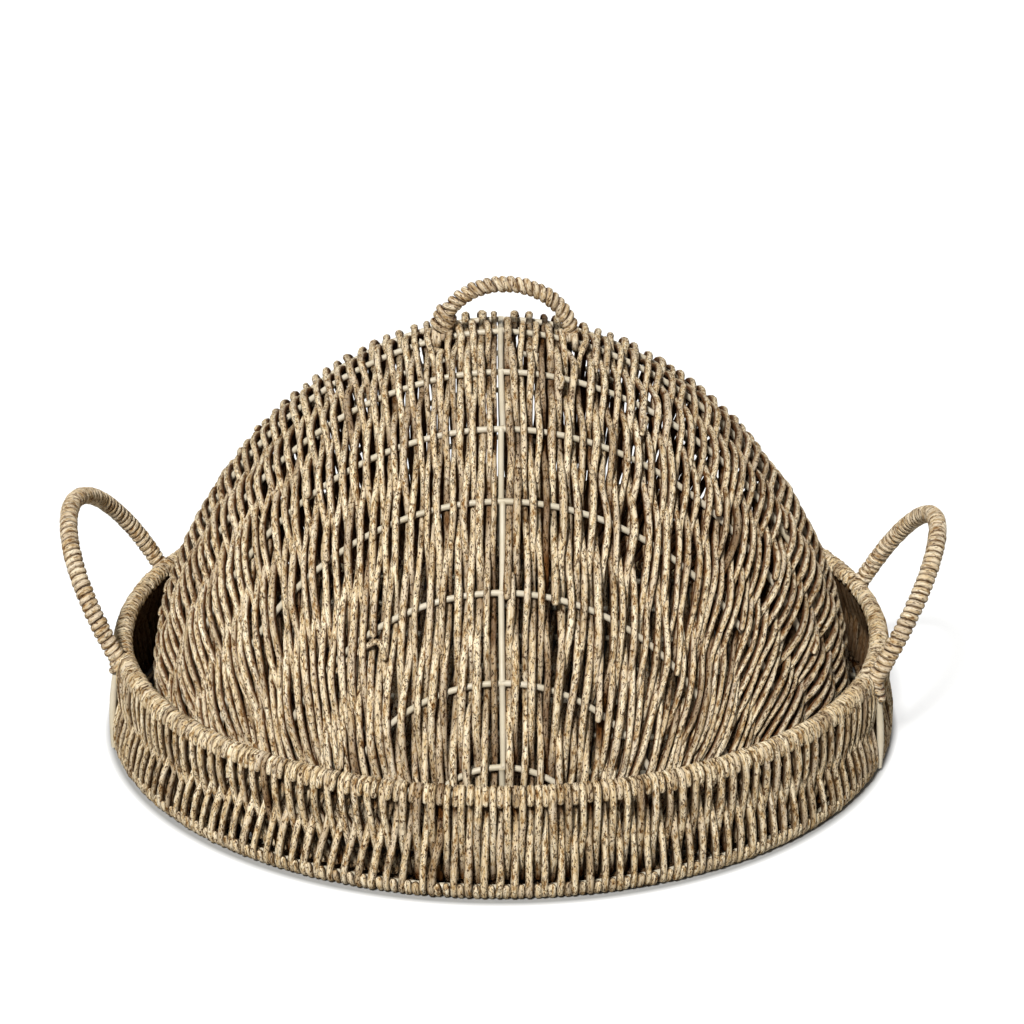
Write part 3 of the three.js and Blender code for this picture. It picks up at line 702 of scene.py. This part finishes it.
def lidStrandPath(hand, number, rng):
    across = lidAcross(hand, number, sectionRib)
    inside = np.flatnonzero(sectionReach > across)
    if len(inside) < 3:
        return None
    first, last = inside[0], inside[-1]
    inside = np.arange(first, last + 1)
    ys = sectionPlaces[inside]
    xs = np.array([np.interp(across[k], sections[k][1], sections[k][0]) for k in inside])
    ends = []
    for inner, outer in ((first, first - 1), (last, last + 1)):
        room = sectionReach[[inner, outer]] - across[[inner, outer]]
        step = sectionPlaces[outer] - sectionPlaces[inner]
        ends.append(sectionPlaces[inner] + step * room[0] / (room[0] - room[1]))
    endXs = np.sqrt(basket["domeRadius"] ** 2 - np.square(ends))
    ys = np.concatenate([ends[:1], ys, ends[1:]])
    xs = np.concatenate([endXs[:1], xs, endXs[1:]])
    ribLength = np.interp(ys, profilePlaces, profileWalk)
    across = np.interp(ys, sectionPlaces, across)
    middle, out, along = domeStation(hand * xs, ys)
    level, endLevels = lidLevels(hand, number, ribLength, rng)

    walked = lengthAlong(middle)
    fade = np.clip(np.minimum(walked, walked[-1] - walked) / lidWeave["endLength"], 0, 1)
    bounce = lidWeave["bounce"] * gentleWave(walked, lidWeave["bounceLength"], rng)
    lift = lidWeave["lift"] * level + bounce * fade
    sideways = lidDrift(hand * across, ribLength)
    uneven = unevenLine(walked, lidWeave["swayLength"], lidWeave["sway"], rng)
    uneven = uneven + unevenLine(walked, lidWeave["slantLength"], lidWeave["slant"], rng)
    low = smooth(-ribLength / lidWeave["unrulyLength"] - 0.8)
    sideways = sideways + uneven * (1 + across / lidWeave["unruly"] * low)
    foot = across - handleFeet[hand]
    near = np.exp(-np.abs(foot) / lidWeave["footReach"] - (ribLength / lidWeave["footLength"]) ** 2)
    sideways = sideways * fade + hand * np.sign(foot) * lidWeave["footPush"] * near
    room = lidWeave["besideRib"] - across + lidWeave["ribGap"]
    sideways = hand * np.maximum(hand * sideways, room)
    points = middle + out * lift[:, None] + along * sideways[:, None]
    # Painted shade on the stretches that pass under an arch
    shade = lidWeave["underShade"] * np.minimum(level, 0)
    apart = lidAcross(hand, number + 1, ribLength) - lidAcross(hand, number, ribLength)
    apart = np.clip(apart / lidWeave["pitch"][hand], *lidWeave["widthShares"])
    widen = (1 + lidWeave["flattened"] * np.abs(level)) * apart

    tails = []
    for end, inner in ((0, 2), (-1, -3)):
        inward = unit(points[inner] - points[end])
        tails.append(ringTail(endLevels[end] > 0, middle[end], inward, rng))
    points = np.concatenate([tails[0][0][::-1], points, tails[1][0]])
    outs = np.concatenate([tails[0][1][::-1], out, tails[1][1]])
    added = len(tails[0][0])
    shade, widen = [np.pad(part, added, "edge") for part in (shade, widen)]
    farEnds = (ribLength[0] - lidTail["reach"], ribLength[-1] + lidTail["reach"])
    ribLength = np.pad(ribLength, added, "linear_ramp", end_values=farEnds)
    return eased(points, 2), outs, shade, widen, ribLength


spliceLook = {
    "share": 0.022,  # of the places where a strand passes over an arch
    "fromEnd": 75 * mm,
    "fromCut": 60 * mm,
    "length": 17 * mm,
    "sideways": (0.9, 1.7),  # mm, as are the next three
    "upperPast": (3, 8),
    "lowerPast": (10, 22),
    "lift": (0.8, 1.5),
    "sink": 0.7 * mm,
}


def hump(ribLength, place, length):
    return np.exp(-((ribLength - place) / length) ** 2)[:, None]


def cutPieces(path, cuts, splices, rng):
    # A cut strand ends on top of an arch. A spliced one ends there too, and the next begins beneath it
    points, outs, shade, widen, ribLength = path
    side = unit(np.cross(unit(np.gradient(points, axis=0)), outs))
    for start in cuts:
        kept = ribLength > start
        points = points + outs * cutLook["lift"] * hump(ribLength, start, cutLook["length"])
        points, outs, shade, widen, ribLength, side = [part[kept] for part in
                                                       (points, outs, shade, widen, ribLength, side)]
    pieces = []
    for place in sorted(splices, reverse=True):
        near = hump(ribLength, place, spliceLook["length"])
        way = rng.choice([-1, 1]) * rng.uniform(*spliceLook["sideways"]) * mm
        upper = ribLength > place - rng.uniform(*spliceLook["upperPast"]) * mm
        lower = ribLength < place + rng.uniform(*spliceLook["lowerPast"]) * mm
        lifted = points + outs * rng.uniform(*spliceLook["lift"]) * mm * near + side * way * near
        pieces.append([part[upper] for part in (lifted, outs, shade, widen)])
        points = points - outs * spliceLook["sink"] * near - side * way * near
        points, outs, shade, widen, ribLength, side = [part[lower] for part in
                                                       (points, outs, shade, widen, ribLength, side)]
    pieces.append((points, outs, shade, widen))
    return pieces


# Loose ends between and on the strands: distance from the rib, length along it, and height, in mm
looseEnds = {
    -1: [[(110, -214, 0.3), (92, -214, 0.3), (78, -215, 1.5), (72, -218, 6), (70, -229, 6)],
         [(87, -252, 0.6), (80, -243, 1.6), (77, -238, 1.6)],
         [(112, -240, 2), (111, -251, 6), (115, -256, 6.5), (119, -251, 5)]],
    1: [[(33, -48, 2), (36, -62, 6.6), (34, -72, 7)], [(91, -64, 2), (87, -78, 6.6), (84, -88, 7)]],
    "width": 3.7 * mm,
    "thick": 3.0 * mm,
    "step": 2 * mm,
    "lump": 0.09,
    "tone": 0.62,
}


def looseEndPath(hand, places):
    share = np.linspace(0, 1, 24)
    given = np.linspace(0, 1, len(places))
    line = np.stack([np.interp(share, given, values) for values in zip(*places)], 1) * mm
    across, ribLength, lift = eased(line, 12).T
    ys = np.interp(ribLength, profileWalk, profilePlaces)
    xs = np.array([np.interp(a, walk, x) for a, (x, walk) in zip(across, map(placesAlongArch, ys))])
    middle, out, along = domeStation(hand * xs, ys)
    return middle + out * lift[:, None], out


middleX, middleWalk = placesAlongArch(0.0)
handleFeet = {}
for hand in (-1, 1):
    footAcross = lidHandle["span"] / 2 + hand * lidHandle["shift"]
    handleFeet[hand] = float(np.interp(footAcross, middleX, middleWalk))

for hand, side in ((-1, "Left"), (1, "Right")):
    rng = np.random.default_rng(lidWeave["seed"] + hand)
    bundle = newBundle()
    strandsEachSide = int((middleArchReach - lidWeave["besideRib"]) / lidWeave["pitch"][hand]) + 1
    for number in range(strandsEachSide):
        path = lidStrandPath(hand, number, rng)
        if path is None:
            continue
        cuts = [start for cut, start in cutStrands[hand] if cut == number]
        splices = []
        for arch in range(2, basket["archCount"]):
            place = archRibLengths[arch - 1]
            fromEnd = spliceLook["fromEnd"]
            clear = path[-1][0] + fromEnd < place < path[-1][-1] - fromEnd
            clear = clear and all(place > start + spliceLook["fromCut"] for start in cuts)
            if clear and overAt(hand, number, arch) and rng.random() < spliceLook["share"]:
                splices.append(place)
        for points, outs, shade, widen in cutPieces(path, cuts, splices, rng):
            size = 1 + lidWeave["widthSpread"] * rng.normal()
            addStrand(bundle, points, outs, rng, lidWeave["width"] * size, lidWeave["thick"] * size,
                      lidWeave["step"], toneMiddle=rng.normal(*lidWeave["tone"]), shade=shade, widen=widen,
                      lump=lidWeave["lump"])
    for places in looseEnds[hand]:
        addStrand(bundle, *looseEndPath(hand, places), rng, looseEnds["width"], looseEnds["thick"],
                  looseEnds["step"], toneMiddle=looseEnds["tone"], lump=looseEnds["lump"])
    bundlePiece(f"lidWeave{side}", bundle, "lid", ["lid_weave"], wovenRattan)

# Tray frame
ringWire("trayTopRing", rimRadius, rimHeight, "tray", "tray_top_ring")
ringWire("trayBottomRing", footRadius, footHeight, "tray", "tray_bottom_ring")
floorMiddle = (basket["archWire"] + 2 * basket["strand"]) / 2
for number in range(1, basket["floorRods"] + 1):
    place = (number - (basket["floorRods"] + 1) / 2) * basket["floorRodSpacing"]
    low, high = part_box(f"tray_floor_rod_{number:02d}")
    points = np.array([[low.x, place, floorMiddle], [0, place, floorMiddle], [high.x, place, floorMiddle]])
    bentWire(f"floorRod{number:02d}", points, basket["archWire"] / 2, "tray",
             [f"tray_floor_rod_{number:02d}"])
print("tray frame made")
# Tray wall: half the strands hook over the rim from inside, the other half turn up round the bottom ring
trayWall = {
    "pairs": 181,
    "width": 4.8 * mm,
    "thick": 4.1 * mm,
    "widthSpread": 0.07,
    "step": 3.4 * mm,
    "rimTurns": ((222, 0), (180, -8)),  # degrees round the top ring, as first and as last ring
    "footTurns": ((150, 360), (180, 368)),
    "firstSteps": 14,
    "lastSteps": 13,
    "bodySteps": 22,
    "bends": (0.88, 1.15),  # where between the rings a strand changes sides
    "rimStub": 4.5 * mm,
    "rimStubs": (0.85, 1.12),
    "stubOut": (0.2 * mm, -0.1 * mm),  # at the rim and at the foot
    "footStub": 3.6 * mm,
    "footStubs": (0.8, 1.15),
    "lean": 10 * mm,  # how far each layer slants, one against the other
    "leanMiddle": math.radians(-68),
    "leanPower": 1.4,
    "shear": 5 * mm,  # how far both slant together, at the front left
    "shearMiddle": math.radians(-104),
    "shearWidth": math.radians(28),
    "jitter": 0.45 * mm,
    "unevenness": 0.42 * mm,
    "unevenLength": 18 * mm,
    "evenShares": (0.92, 0.96, 0.8),  # how evenly strands stand at the rim, at the foot and halfway
    # painted shade: strands are drawn darker where they run on the inside of the wall, but not near the rim
    "underShade": 0.8,  # how much darker a strand is on the inside
    "underShadeFrom": 0.15,  # but not this near to the rim, as a share of the height
    "tone": (0.58, 0.13),
    "legPush": 4.6 * mm,  # the outer strands stand off from the handles' legs
    "legReach": 8 * mm,
    "pushSpread": 5.5,  # mm
    "pushEdge": 0.8 * mm,
    "seed": 23,
}
sideHandle = {
    "wire": 4.6 * mm,
    "span": 150 * mm,
    "reach": 85 * mm,
    "lean": math.radians(28.4),
    "legEnd": 3 * mm,
    "clearance": 0.3 * mm,
    "strandWidth": 4.4 * mm,
    "strandThick": 3.5 * mm,
    "step": 1.5 * mm,
    "pitch": 4.35 * mm,
    "pastRim": {(1, -1): 12 * mm, (1, 1): 3 * mm, (-1, -1): 6 * mm, (-1, 1): 3 * mm},  # hand, front or back
    "seed": 5,
}
legRadius = rimRadius + basket["ringWire"] / 2 + sideHandle["clearance"] + sideHandle["wire"] / 2
legEndRadius = footRadius + basket["ringWire"] / 2 + sideHandle["clearance"] + sideHandle["wire"] / 2
footAngle = math.asin(sideHandle["span"] / 2 / legRadius)
legAngles = [footAngle, math.pi - footAngle, math.pi + footAngle, 2 * math.pi - footAngle]


def wallSection(overRim, rng):
    # Distance outwards and height along a strand, from its inner end to its outer stub
    share = np.linspace(0, 1, trayWall["bodySteps"])[1:-1]
    bend = share ** rng.uniform(*trayWall["bends"])
    bow = basket["wallBulge"] * 4 * share * (1 - share)
    top = np.array([rimRadius, rimHeight])
    foot = np.array([footRadius, footHeight])
    first, last = (top, foot) if overRim else (foot, top)
    line = first + np.outer(share, last - first) + np.stack([bow, 0 * share], 1)
    body = line + np.stack([wrap * np.cos(np.pi * bend), 0 * share], 1)
    firstTurn = trayWall["rimTurns" if overRim else "footTurns"][0]
    lastTurn = trayWall["footTurns" if overRim else "rimTurns"][1]
    start = first + ringTurn(*firstTurn, trayWall["firstSteps"])
    finish = last + ringTurn(*lastTurn, trayWall["lastSteps"])
    if overRim:
        reach = [trayWall["stubOut"][1], trayWall["footStub"] * rng.uniform(*trayWall["footStubs"])]
    else:
        reach = [trayWall["stubOut"][0], -trayWall["rimStub"] * rng.uniform(*trayWall["rimStubs"])]
    stub = finish[-1] + np.outer([0.5, 1], reach)
    section = np.concatenate([start, body, finish, stub])
    inside = line - [[20 * mm, 0]]
    centres = np.concatenate([np.repeat([first], len(start), 0), inside,
                              np.repeat([last], len(finish) + len(stub), 0)])
    return section, centres


def wrapped(angles):
    return (angles + np.pi) % (2 * np.pi) - np.pi


def inOneLayer(angles, share):
    # Side by side at even spacings, in the order in which they come
    order = np.argsort(angles % (2 * np.pi))
    even = np.empty(len(angles))
    even[order] = 2 * np.pi * np.arange(len(angles)) / len(angles)
    off = wrapped(even - angles)
    off = wrapped(off - np.angle(np.exp(1j * off).mean()))
    return angles + share * off


def wallStrand(bundle, overRim, footPlace, middlePlace, rimPlace, rng):
    section, centres = wallSection(overRim, rng)
    height = np.clip((section[:, 1] - footHeight) / (rimHeight - footHeight), 0, 1)
    angles = np.interp(height, [0, 0.5, 1], [footPlace, middlePlace, rimPlace])
    walked = lengthAlong(section)
    uneven = unevenLine(walked, trayWall["unevenLength"], trayWall["unevenness"], rng)
    angles = angles + uneven / footRadius
    for leg in legAngles:
        off = wrapped(angles - leg)
        push = trayWall["legPush"] * np.exp(-np.abs(off) * footRadius / trayWall["legReach"])
        edge = rimRadius + (trayWall["pushSpread"] - trayWall["pushSpread"] * height) * mm
        outer = 1 / (1 + np.exp((edge - section[:, 0]) / trayWall["pushEdge"]))
        angles = angles + np.sign(off.mean()) * push * outer / footRadius
    points = eased(roundMiddle(section[:, 0], angles, section[:, 1]), 2)
    away = unit(section - centres)
    outs = roundMiddle(away[:, 0], angles, away[:, 1])
    size = 1 + trayWall["widthSpread"] * rng.normal()
    depth = section[:, 0] - (footRadius + (rimRadius - footRadius) * height)
    # Painted shade on the stretches inside the wall
    shade = trayWall["underShade"] * np.clip(depth / wrap, -1, 0)
    shade = shade * np.clip((1 - height) / trayWall["underShadeFrom"], 0, 1)
    addStrand(bundle, points, outs, rng, trayWall["width"] * size, trayWall["thick"] * size, trayWall["step"],
              toneMiddle=rng.normal(*trayWall["tone"]), shade=shade)


rng = np.random.default_rng(trayWall["seed"])
pairs = trayWall["pairs"]
evenAngles = 2 * np.pi * np.arange(pairs) / pairs
jitter = trayWall["jitter"] / footRadius
lean = np.sin(evenAngles - trayWall["leanMiddle"])
lean = -trayWall["lean"] / footRadius * np.sign(lean) * np.abs(lean) ** trayWall["leanPower"]
shear = -trayWall["shear"] / footRadius * np.exp(-(wrapped(evenAngles - trayWall["shearMiddle"])
                                                   / trayWall["shearWidth"]) ** 2)
rimOver = evenAngles + jitter * rng.normal(size=pairs)
footUnder = evenAngles + np.pi / pairs + jitter * rng.normal(size=pairs)
rimShare, footShare, halfwayShare = trayWall["evenShares"]
rim = inOneLayer(np.concatenate([rimOver, footUnder + lean]), rimShare)
foot = inOneLayer(np.concatenate([rimOver + lean + shear, footUnder + shear]), footShare)
halfway = inOneLayer((rim + foot) / 2, halfwayShare)
bundle = newBundle()
for number in range(2 * pairs):
    wallStrand(bundle, number < pairs, foot[number], halfway[number], rim[number], rng)
bundlePiece("wallWeave", bundle, "tray", ["tray_wall_weave"], trayRattan)

# Tray floor: strands from front to back over and under the rods
trayFloor = {
    "pitch": 4.4 * mm,
    "width": 4.25 * mm,
    "thick": 4.1 * mm,
    "widthSpread": 0.05,
    "lift": 3.9 * mm,
    "radius": 242 * mm,
    "margin": 3 * mm,
    "flatFrom": 4.45,  # rod spacings from the middle, past which a strand runs level
    "flatWay": 0.4,
    "pathStep": 3 * mm,
    "sway": 0.45 * mm,
    "swayLength": 80 * mm,
    "step": 5 * mm,
    # painted shade: the floor strands are drawn dark, standing for the shade inside the tray
    "tone": (0.26, 0.08),
    "seed": 31,
}
rng = np.random.default_rng(trayFloor["seed"])
bundle = newBundle()
rodSpacing = basket["floorRodSpacing"]
floorCount = int(2 * (trayFloor["radius"] - trayFloor["margin"]) / trayFloor["pitch"])
for number in range(floorCount):
    x = (number - (floorCount - 1) / 2) * trayFloor["pitch"]
    half = math.sqrt(trayFloor["radius"] ** 2 - x ** 2)
    y = np.linspace(-half, half, max(int(2 * half / trayFloor["pathStep"]), 8))
    phase = np.pi * (y / rodSpacing + number)
    room = trayFloor["flatFrom"] * rodSpacing - np.abs(y)
    ease = np.clip(room / (trayFloor["flatWay"] * rodSpacing), 0, 1)
    z = floorMiddle + trayFloor["lift"] * np.cos(phase) * ease
    sway = trayFloor["sway"] * gentleWave(y, trayFloor["swayLength"], rng)
    points = np.stack([x + sway, y, z], 1)
    width = trayFloor["width"] * (1 + trayFloor["widthSpread"] * rng.normal())
    addStrand(bundle, points, np.tile([0.0, 0.0, 1.0], (len(y), 1)), rng, width,
              min(trayFloor["thick"], width), trayFloor["step"], sides=6,
              toneMiddle=rng.normal(*trayFloor["tone"]), lump=0.03)
bundlePiece("floorWeave", bundle, "tray", ["tray_floor_weave"], trayRattan)


# Handles: a wire with one strand wound round it. The lid's is lashed down at its feet too

def evenArch(middle, across, up, halfSpan, rise, count=600):
    angles = np.linspace(0, math.pi, count)
    points = middle + np.outer(halfSpan * np.cos(angles), across) + np.outer(rise * np.sin(angles), up)
    return points, lengthAlong(points)


def windingPath(points, walked, facing, radius, pitch, start, finish, rng, tilt=0.25 * mm, stepsPerTurn=20):
    count = int((finish - start) / pitch * stepsPerTurn)
    turn = np.arange(count + 1) / stepsPerTurn
    along = start + (finish - start) * turn / turn[-1]
    along = along + 0.16 * mm * gentleWave(turn, 2.3, rng)
    along = along + np.sin(2 * np.pi * turn) * (tilt + 0.25 * mm * gentleWave(turn, 9, rng))
    along = np.clip(along, 0, walked[-1])
    centre = pointsAt(along, walked, points)
    way = unit(pointsAt(along, walked, unit(np.gradient(points, axis=0))))
    binormal = unit(np.cross(way, facing))
    angle = 2 * np.pi * turn
    out = facing * np.cos(angle)[:, None] + binormal * np.sin(angle)[:, None]
    reach = radius + 0.1 * mm * gentleWave(turn, 3.1, rng)
    return centre + out * reach[:, None], out


def lashingPath(centre, out, up, along, outReach, upReach, slant, spread, turns, rng):
    # Loops round a foot and what it stands on, passing aslant over the foot
    turn = np.linspace(0, turns, int(turns * 20) + 1)
    angle = 2 * np.pi * turn
    grow = 1 + 0.05 * gentleWave(turn, 1.7, rng)
    slide = spread * (turn / turns - 0.5) - slant * np.sin(angle) * (1 + 0.15 * gentleWave(turn, 1.3, rng))
    loop = np.outer(outReach * grow * np.cos(angle), out) + np.outer(upReach * grow * np.sin(angle), up)
    return centre + loop + np.outer(slide, along), unit(loop)


for sign, hand in ((1, "Right"), (-1, "Left")):
    rng = np.random.default_rng(sideHandle["seed"] + sign)
    lean = sideHandle["lean"]
    middle = np.array([sign * legRadius * math.cos(footAngle), 0, rimHeight])
    across = np.array([0, sign, 0.0])
    up = np.array([sign * math.sin(lean), 0, math.cos(lean)])
    facing = np.array([sign * math.cos(lean), 0, -math.sin(lean)])
    arch = evenArch(middle, across, up, sideHandle["span"] / 2, sideHandle["reach"])[0]
    legs = []
    for end in (sign, -sign):
        share = np.linspace(0, 1, 13)[:-1]
        bulge = basket["wallBulge"] * 4 * share * (1 - share)
        radius = legEndRadius + (legRadius - legEndRadius) * share + bulge
        height = sideHandle["legEnd"] + (rimHeight - sideHandle["legEnd"]) * share
        legX = sign * radius * math.cos(footAngle)
        legs.append(np.stack([legX, end * radius * math.sin(footAngle), height], 1))
    wirePoints = np.concatenate([legs[0], arch[::6], legs[1][::-1]])
    bentWire(f"sideHandleWire{hand}", wirePoints, sideHandle["wire"] / 2, "tray",
             [f"side_handle_wire_{hand.lower()}"], sides=4)
    radius = sideHandle["wire"] / 2 + sideHandle["strandThick"] / 2
    start, finish = [sideHandle["pastRim"][sign, end] for end in (sign, -sign)]
    line = np.concatenate([legs[0][6:], arch, legs[1][:5:-1]])
    lineWalk = lengthAlong(line)
    legWalk = lineWalk[len(legs[0][6:])]
    path, outs = windingPath(line, lineWalk, facing, radius, sideHandle["pitch"], legWalk - start,
                             lineWalk[-1] - legWalk + finish, rng)
    bundle = newBundle()
    addStrand(bundle, path, outs, rng, sideHandle["strandWidth"], sideHandle["strandThick"],
              sideHandle["step"], toneMiddle=0.6, lump=0.06, square=2.9)
    bundlePiece(f"sideHandleWinding{hand}", bundle, "tray", [f"side_handle_winding_{hand.lower()}"],
                woundRattan)

lidWinding = {
    "strandWidth": 4.45 * mm,
    "strandThick": 3.5 * mm,
    "pitch": 4.7 * mm,
    "step": 1.3 * mm,
    "tilt": -1.2 * mm,
    "fromEnd": 0.5 * mm,
    "tone": 0.5,
    "seed": 12,
}
footLayer = {
    "strandWidth": 4.3 * mm,
    "strandThick": 2.8 * mm,
    "step": 1.6 * mm,
    "out": 2.6 * mm,
    "pitch": 4.3 * mm,
    "tilt": 2.6 * mm,
    "fromEnd": (17 * mm, 3 * mm),
    "tone": 0.45,
}
lashing = {
    "strandWidth": 4.4 * mm,
    "strandThick": 3.0 * mm,
    "step": 1.6 * mm,
    "turns": (3, 2),  # left foot, right foot
    "outReach": 6.6 * mm,
    "upReach": 5.4 * mm,
    "beside": 2 * mm,
    "above": 0.8 * mm,
    "slant": 2.6 * mm,
    "spread": 8 * mm,
    "tone": 0.5,
}
footLift = basket["archWire"] / 2 + lidHandle["gap"]
feetAcross = lidHandle["shift"] + np.array([-0.5, 0.5]) * lidHandle["span"]
feet, out, feetAlong = domeStation(feetAcross, np.zeros(2))
acrossWay = unit(feet[1] - feet[0])
towardsBack = np.array([0, 1.0, 0])
upWay = np.cross(acrossWay, towardsBack)
arch, walked = evenArch((feet[0] + feet[1]) / 2 + upWay * footLift, acrossWay, upWay, lidHandle["span"] / 2,
                        lidHandle["rise"] - footLift)
bentWire("lidHandleWire", turnedLid(arch[::8]), lidHandle["wire"] / 2, "lid", ["lid_handle_wire"], sides=4)
rng = np.random.default_rng(lidWinding["seed"])
radius = lidHandle["wire"] / 2 + lidWinding["strandThick"] / 2
path, outs = windingPath(arch, walked, towardsBack, radius, lidWinding["pitch"], lidWinding["fromEnd"],
                         walked[-1] - lidWinding["fromEnd"], rng, tilt=lidWinding["tilt"])
bundle = newBundle()
addStrand(bundle, path, outs, rng, lidWinding["strandWidth"], lidWinding["strandThick"], lidWinding["step"],
          toneMiddle=lidWinding["tone"], lump=0.09, square=2.2)
# A second, slanting layer thickens the left foot
path, outs = windingPath(arch, walked, towardsBack, radius + footLayer["out"], footLayer["pitch"],
                         walked[-1] - footLayer["fromEnd"][0], walked[-1] - footLayer["fromEnd"][1], rng,
                         tilt=footLayer["tilt"])
addStrand(bundle, path, outs, rng, footLayer["strandWidth"], footLayer["strandThick"], footLayer["step"],
          toneMiddle=footLayer["tone"], lump=0.08, square=2.3)
for end in (1, 0):
    sign = 2 * end - 1
    upward = np.cross(feetAlong[end], towardsBack)
    centre = feet[end] + sign * feetAlong[end] * lashing["beside"] + upward * lashing["above"]
    lash, lashOuts = lashingPath(centre, -towardsBack, upward, feetAlong[end], lashing["outReach"],
                                 lashing["upReach"], sign * lashing["slant"], sign * lashing["spread"],
                                 lashing["turns"][end], rng)
    addStrand(bundle, lash, lashOuts, rng, lashing["strandWidth"], lashing["strandThick"], lashing["step"],
              toneMiddle=lashing["tone"], lump=0.08, square=2.3)
bundlePiece("lidHandleWinding", bundle, "lid", ["lid_handle_winding"], woundRattan)
print("handles made")

# Floor, background and light
studio = {
    "floorSize": 14.0,
    "floorColour": (0.40, 0.40, 0.39),
    "floorGlow": 0.72,
    "footprint": (254 * mm, 259 * mm),  # the floor under the tray has no glow
    "worldLight": 0.12,
    "sunStrength": 3.95,
    "sunSoftness": math.radians(9),
    "sunFrom": (-0.26, -0.95, 1.04),
    "fillStrength": 0.7,  # a weak second light for the back
    "fillSoftness": math.radians(40),
    "fillFrom": (0.5, 1.0, 0.5),
}

bpy.ops.object.select_all(action="DESELECT")
bpy.ops.mesh.primitive_plane_add(size=studio["floorSize"], location=(0, 0, 0))
floor = bpy.context.object
floor.name = "studioFloor"
material, tree, shader = newMaterial("paleFloor")
shader.inputs["Base Color"].default_value = (*studio["floorColour"], 1)
shader.inputs["Roughness"].default_value = 0.9
shader.inputs["Specular IOR Level"].default_value = 0.1
rays = addNode(tree, "ShaderNodeLightPath")
glow = addNode(tree, "ShaderNodeEmission", Color=(1, 1, 1, 1))
spot = addNode(tree, "ShaderNodeTexCoord").outputs["Object"]
far = addNode(tree, "ShaderNodeVectorMath", {"operation": "LENGTH"}, i0=spot).outputs["Value"]
inner, outer = studio["footprint"]
outside = addNode(tree, "ShaderNodeMapRange", Value=far, i1=inner, i2=outer, i3=0,
                  i4=studio["floorGlow"]).outputs["Result"]
tree.links.new(addNode(tree, "ShaderNodeMath", {"operation": "MULTIPLY"}, i0=rays.outputs["Is Camera Ray"],
                       i1=outside).outputs[0], glow.inputs["Strength"])
both = addNode(tree, "ShaderNodeAddShader", i0=shader.outputs[0], i1=glow.outputs[0])
tree.links.new(both.outputs[0], tree.nodes["Material Output"].inputs["Surface"])
floor.data.materials.append(material)

world = bpy.data.worlds.new("studioWorld")
bpy.context.scene.world = world
world.use_nodes = True
tree = world.node_tree
rays = addNode(tree, "ShaderNodeLightPath")
seen = addNode(tree, "ShaderNodeMath", {"operation": "MULTIPLY_ADD"}, i0=rays.outputs["Is Camera Ray"],
               i1=1 - studio["worldLight"], i2=studio["worldLight"])
tree.nodes["Background"].inputs["Color"].default_value = (1, 1, 1, 1)
tree.links.new(seen.outputs[0], tree.nodes["Background"].inputs["Strength"])

for light in ("sun", "fill"):
    source = Vector(studio[f"{light}From"])
    bpy.ops.object.light_add(type="SUN", location=source)
    lamp = bpy.context.object
    lamp.name = f"{light}Light"
    lamp.data.energy = studio[f"{light}Strength"]
    lamp.data.angle = studio[f"{light}Softness"]
    lamp.rotation_euler = (-source).to_track_quat("-Z", "Y").to_euler()

# Camera, fitted to the photograph
camera = {
    "azimuth": math.radians(3.621),
    "elevation": math.radians(22.531),
    "distance": 1759.1 * mm,
    "lens": 96.4,
    "target": Vector((0, 0, 119.3 * mm)),
    "aimRight": 7.0 * mm,
    "aimUp": 17.8 * mm,
}
back = Vector((math.sin(camera["azimuth"]) * math.cos(camera["elevation"]),
               -math.cos(camera["azimuth"]) * math.cos(camera["elevation"]), math.sin(camera["elevation"])))
right = Vector((math.cos(camera["azimuth"]), math.sin(camera["azimuth"]), 0))
place = camera["target"] + back * camera["distance"]
aim = camera["target"] + right * camera["aimRight"] + back.cross(right) * camera["aimUp"]
bpy.ops.object.camera_add(location=place)
view = bpy.context.object
view.name = "photoCamera"
view.rotation_euler = (aim - place).to_track_quat("-Z", "Y").to_euler()
view.data.lens = camera["lens"]
view.data.sensor_width = 36
view.data.clip_end = 30
bpy.context.scene.camera = view
bpy.context.scene.view_settings.view_transform = "Standard"
print("floor, light and camera made")
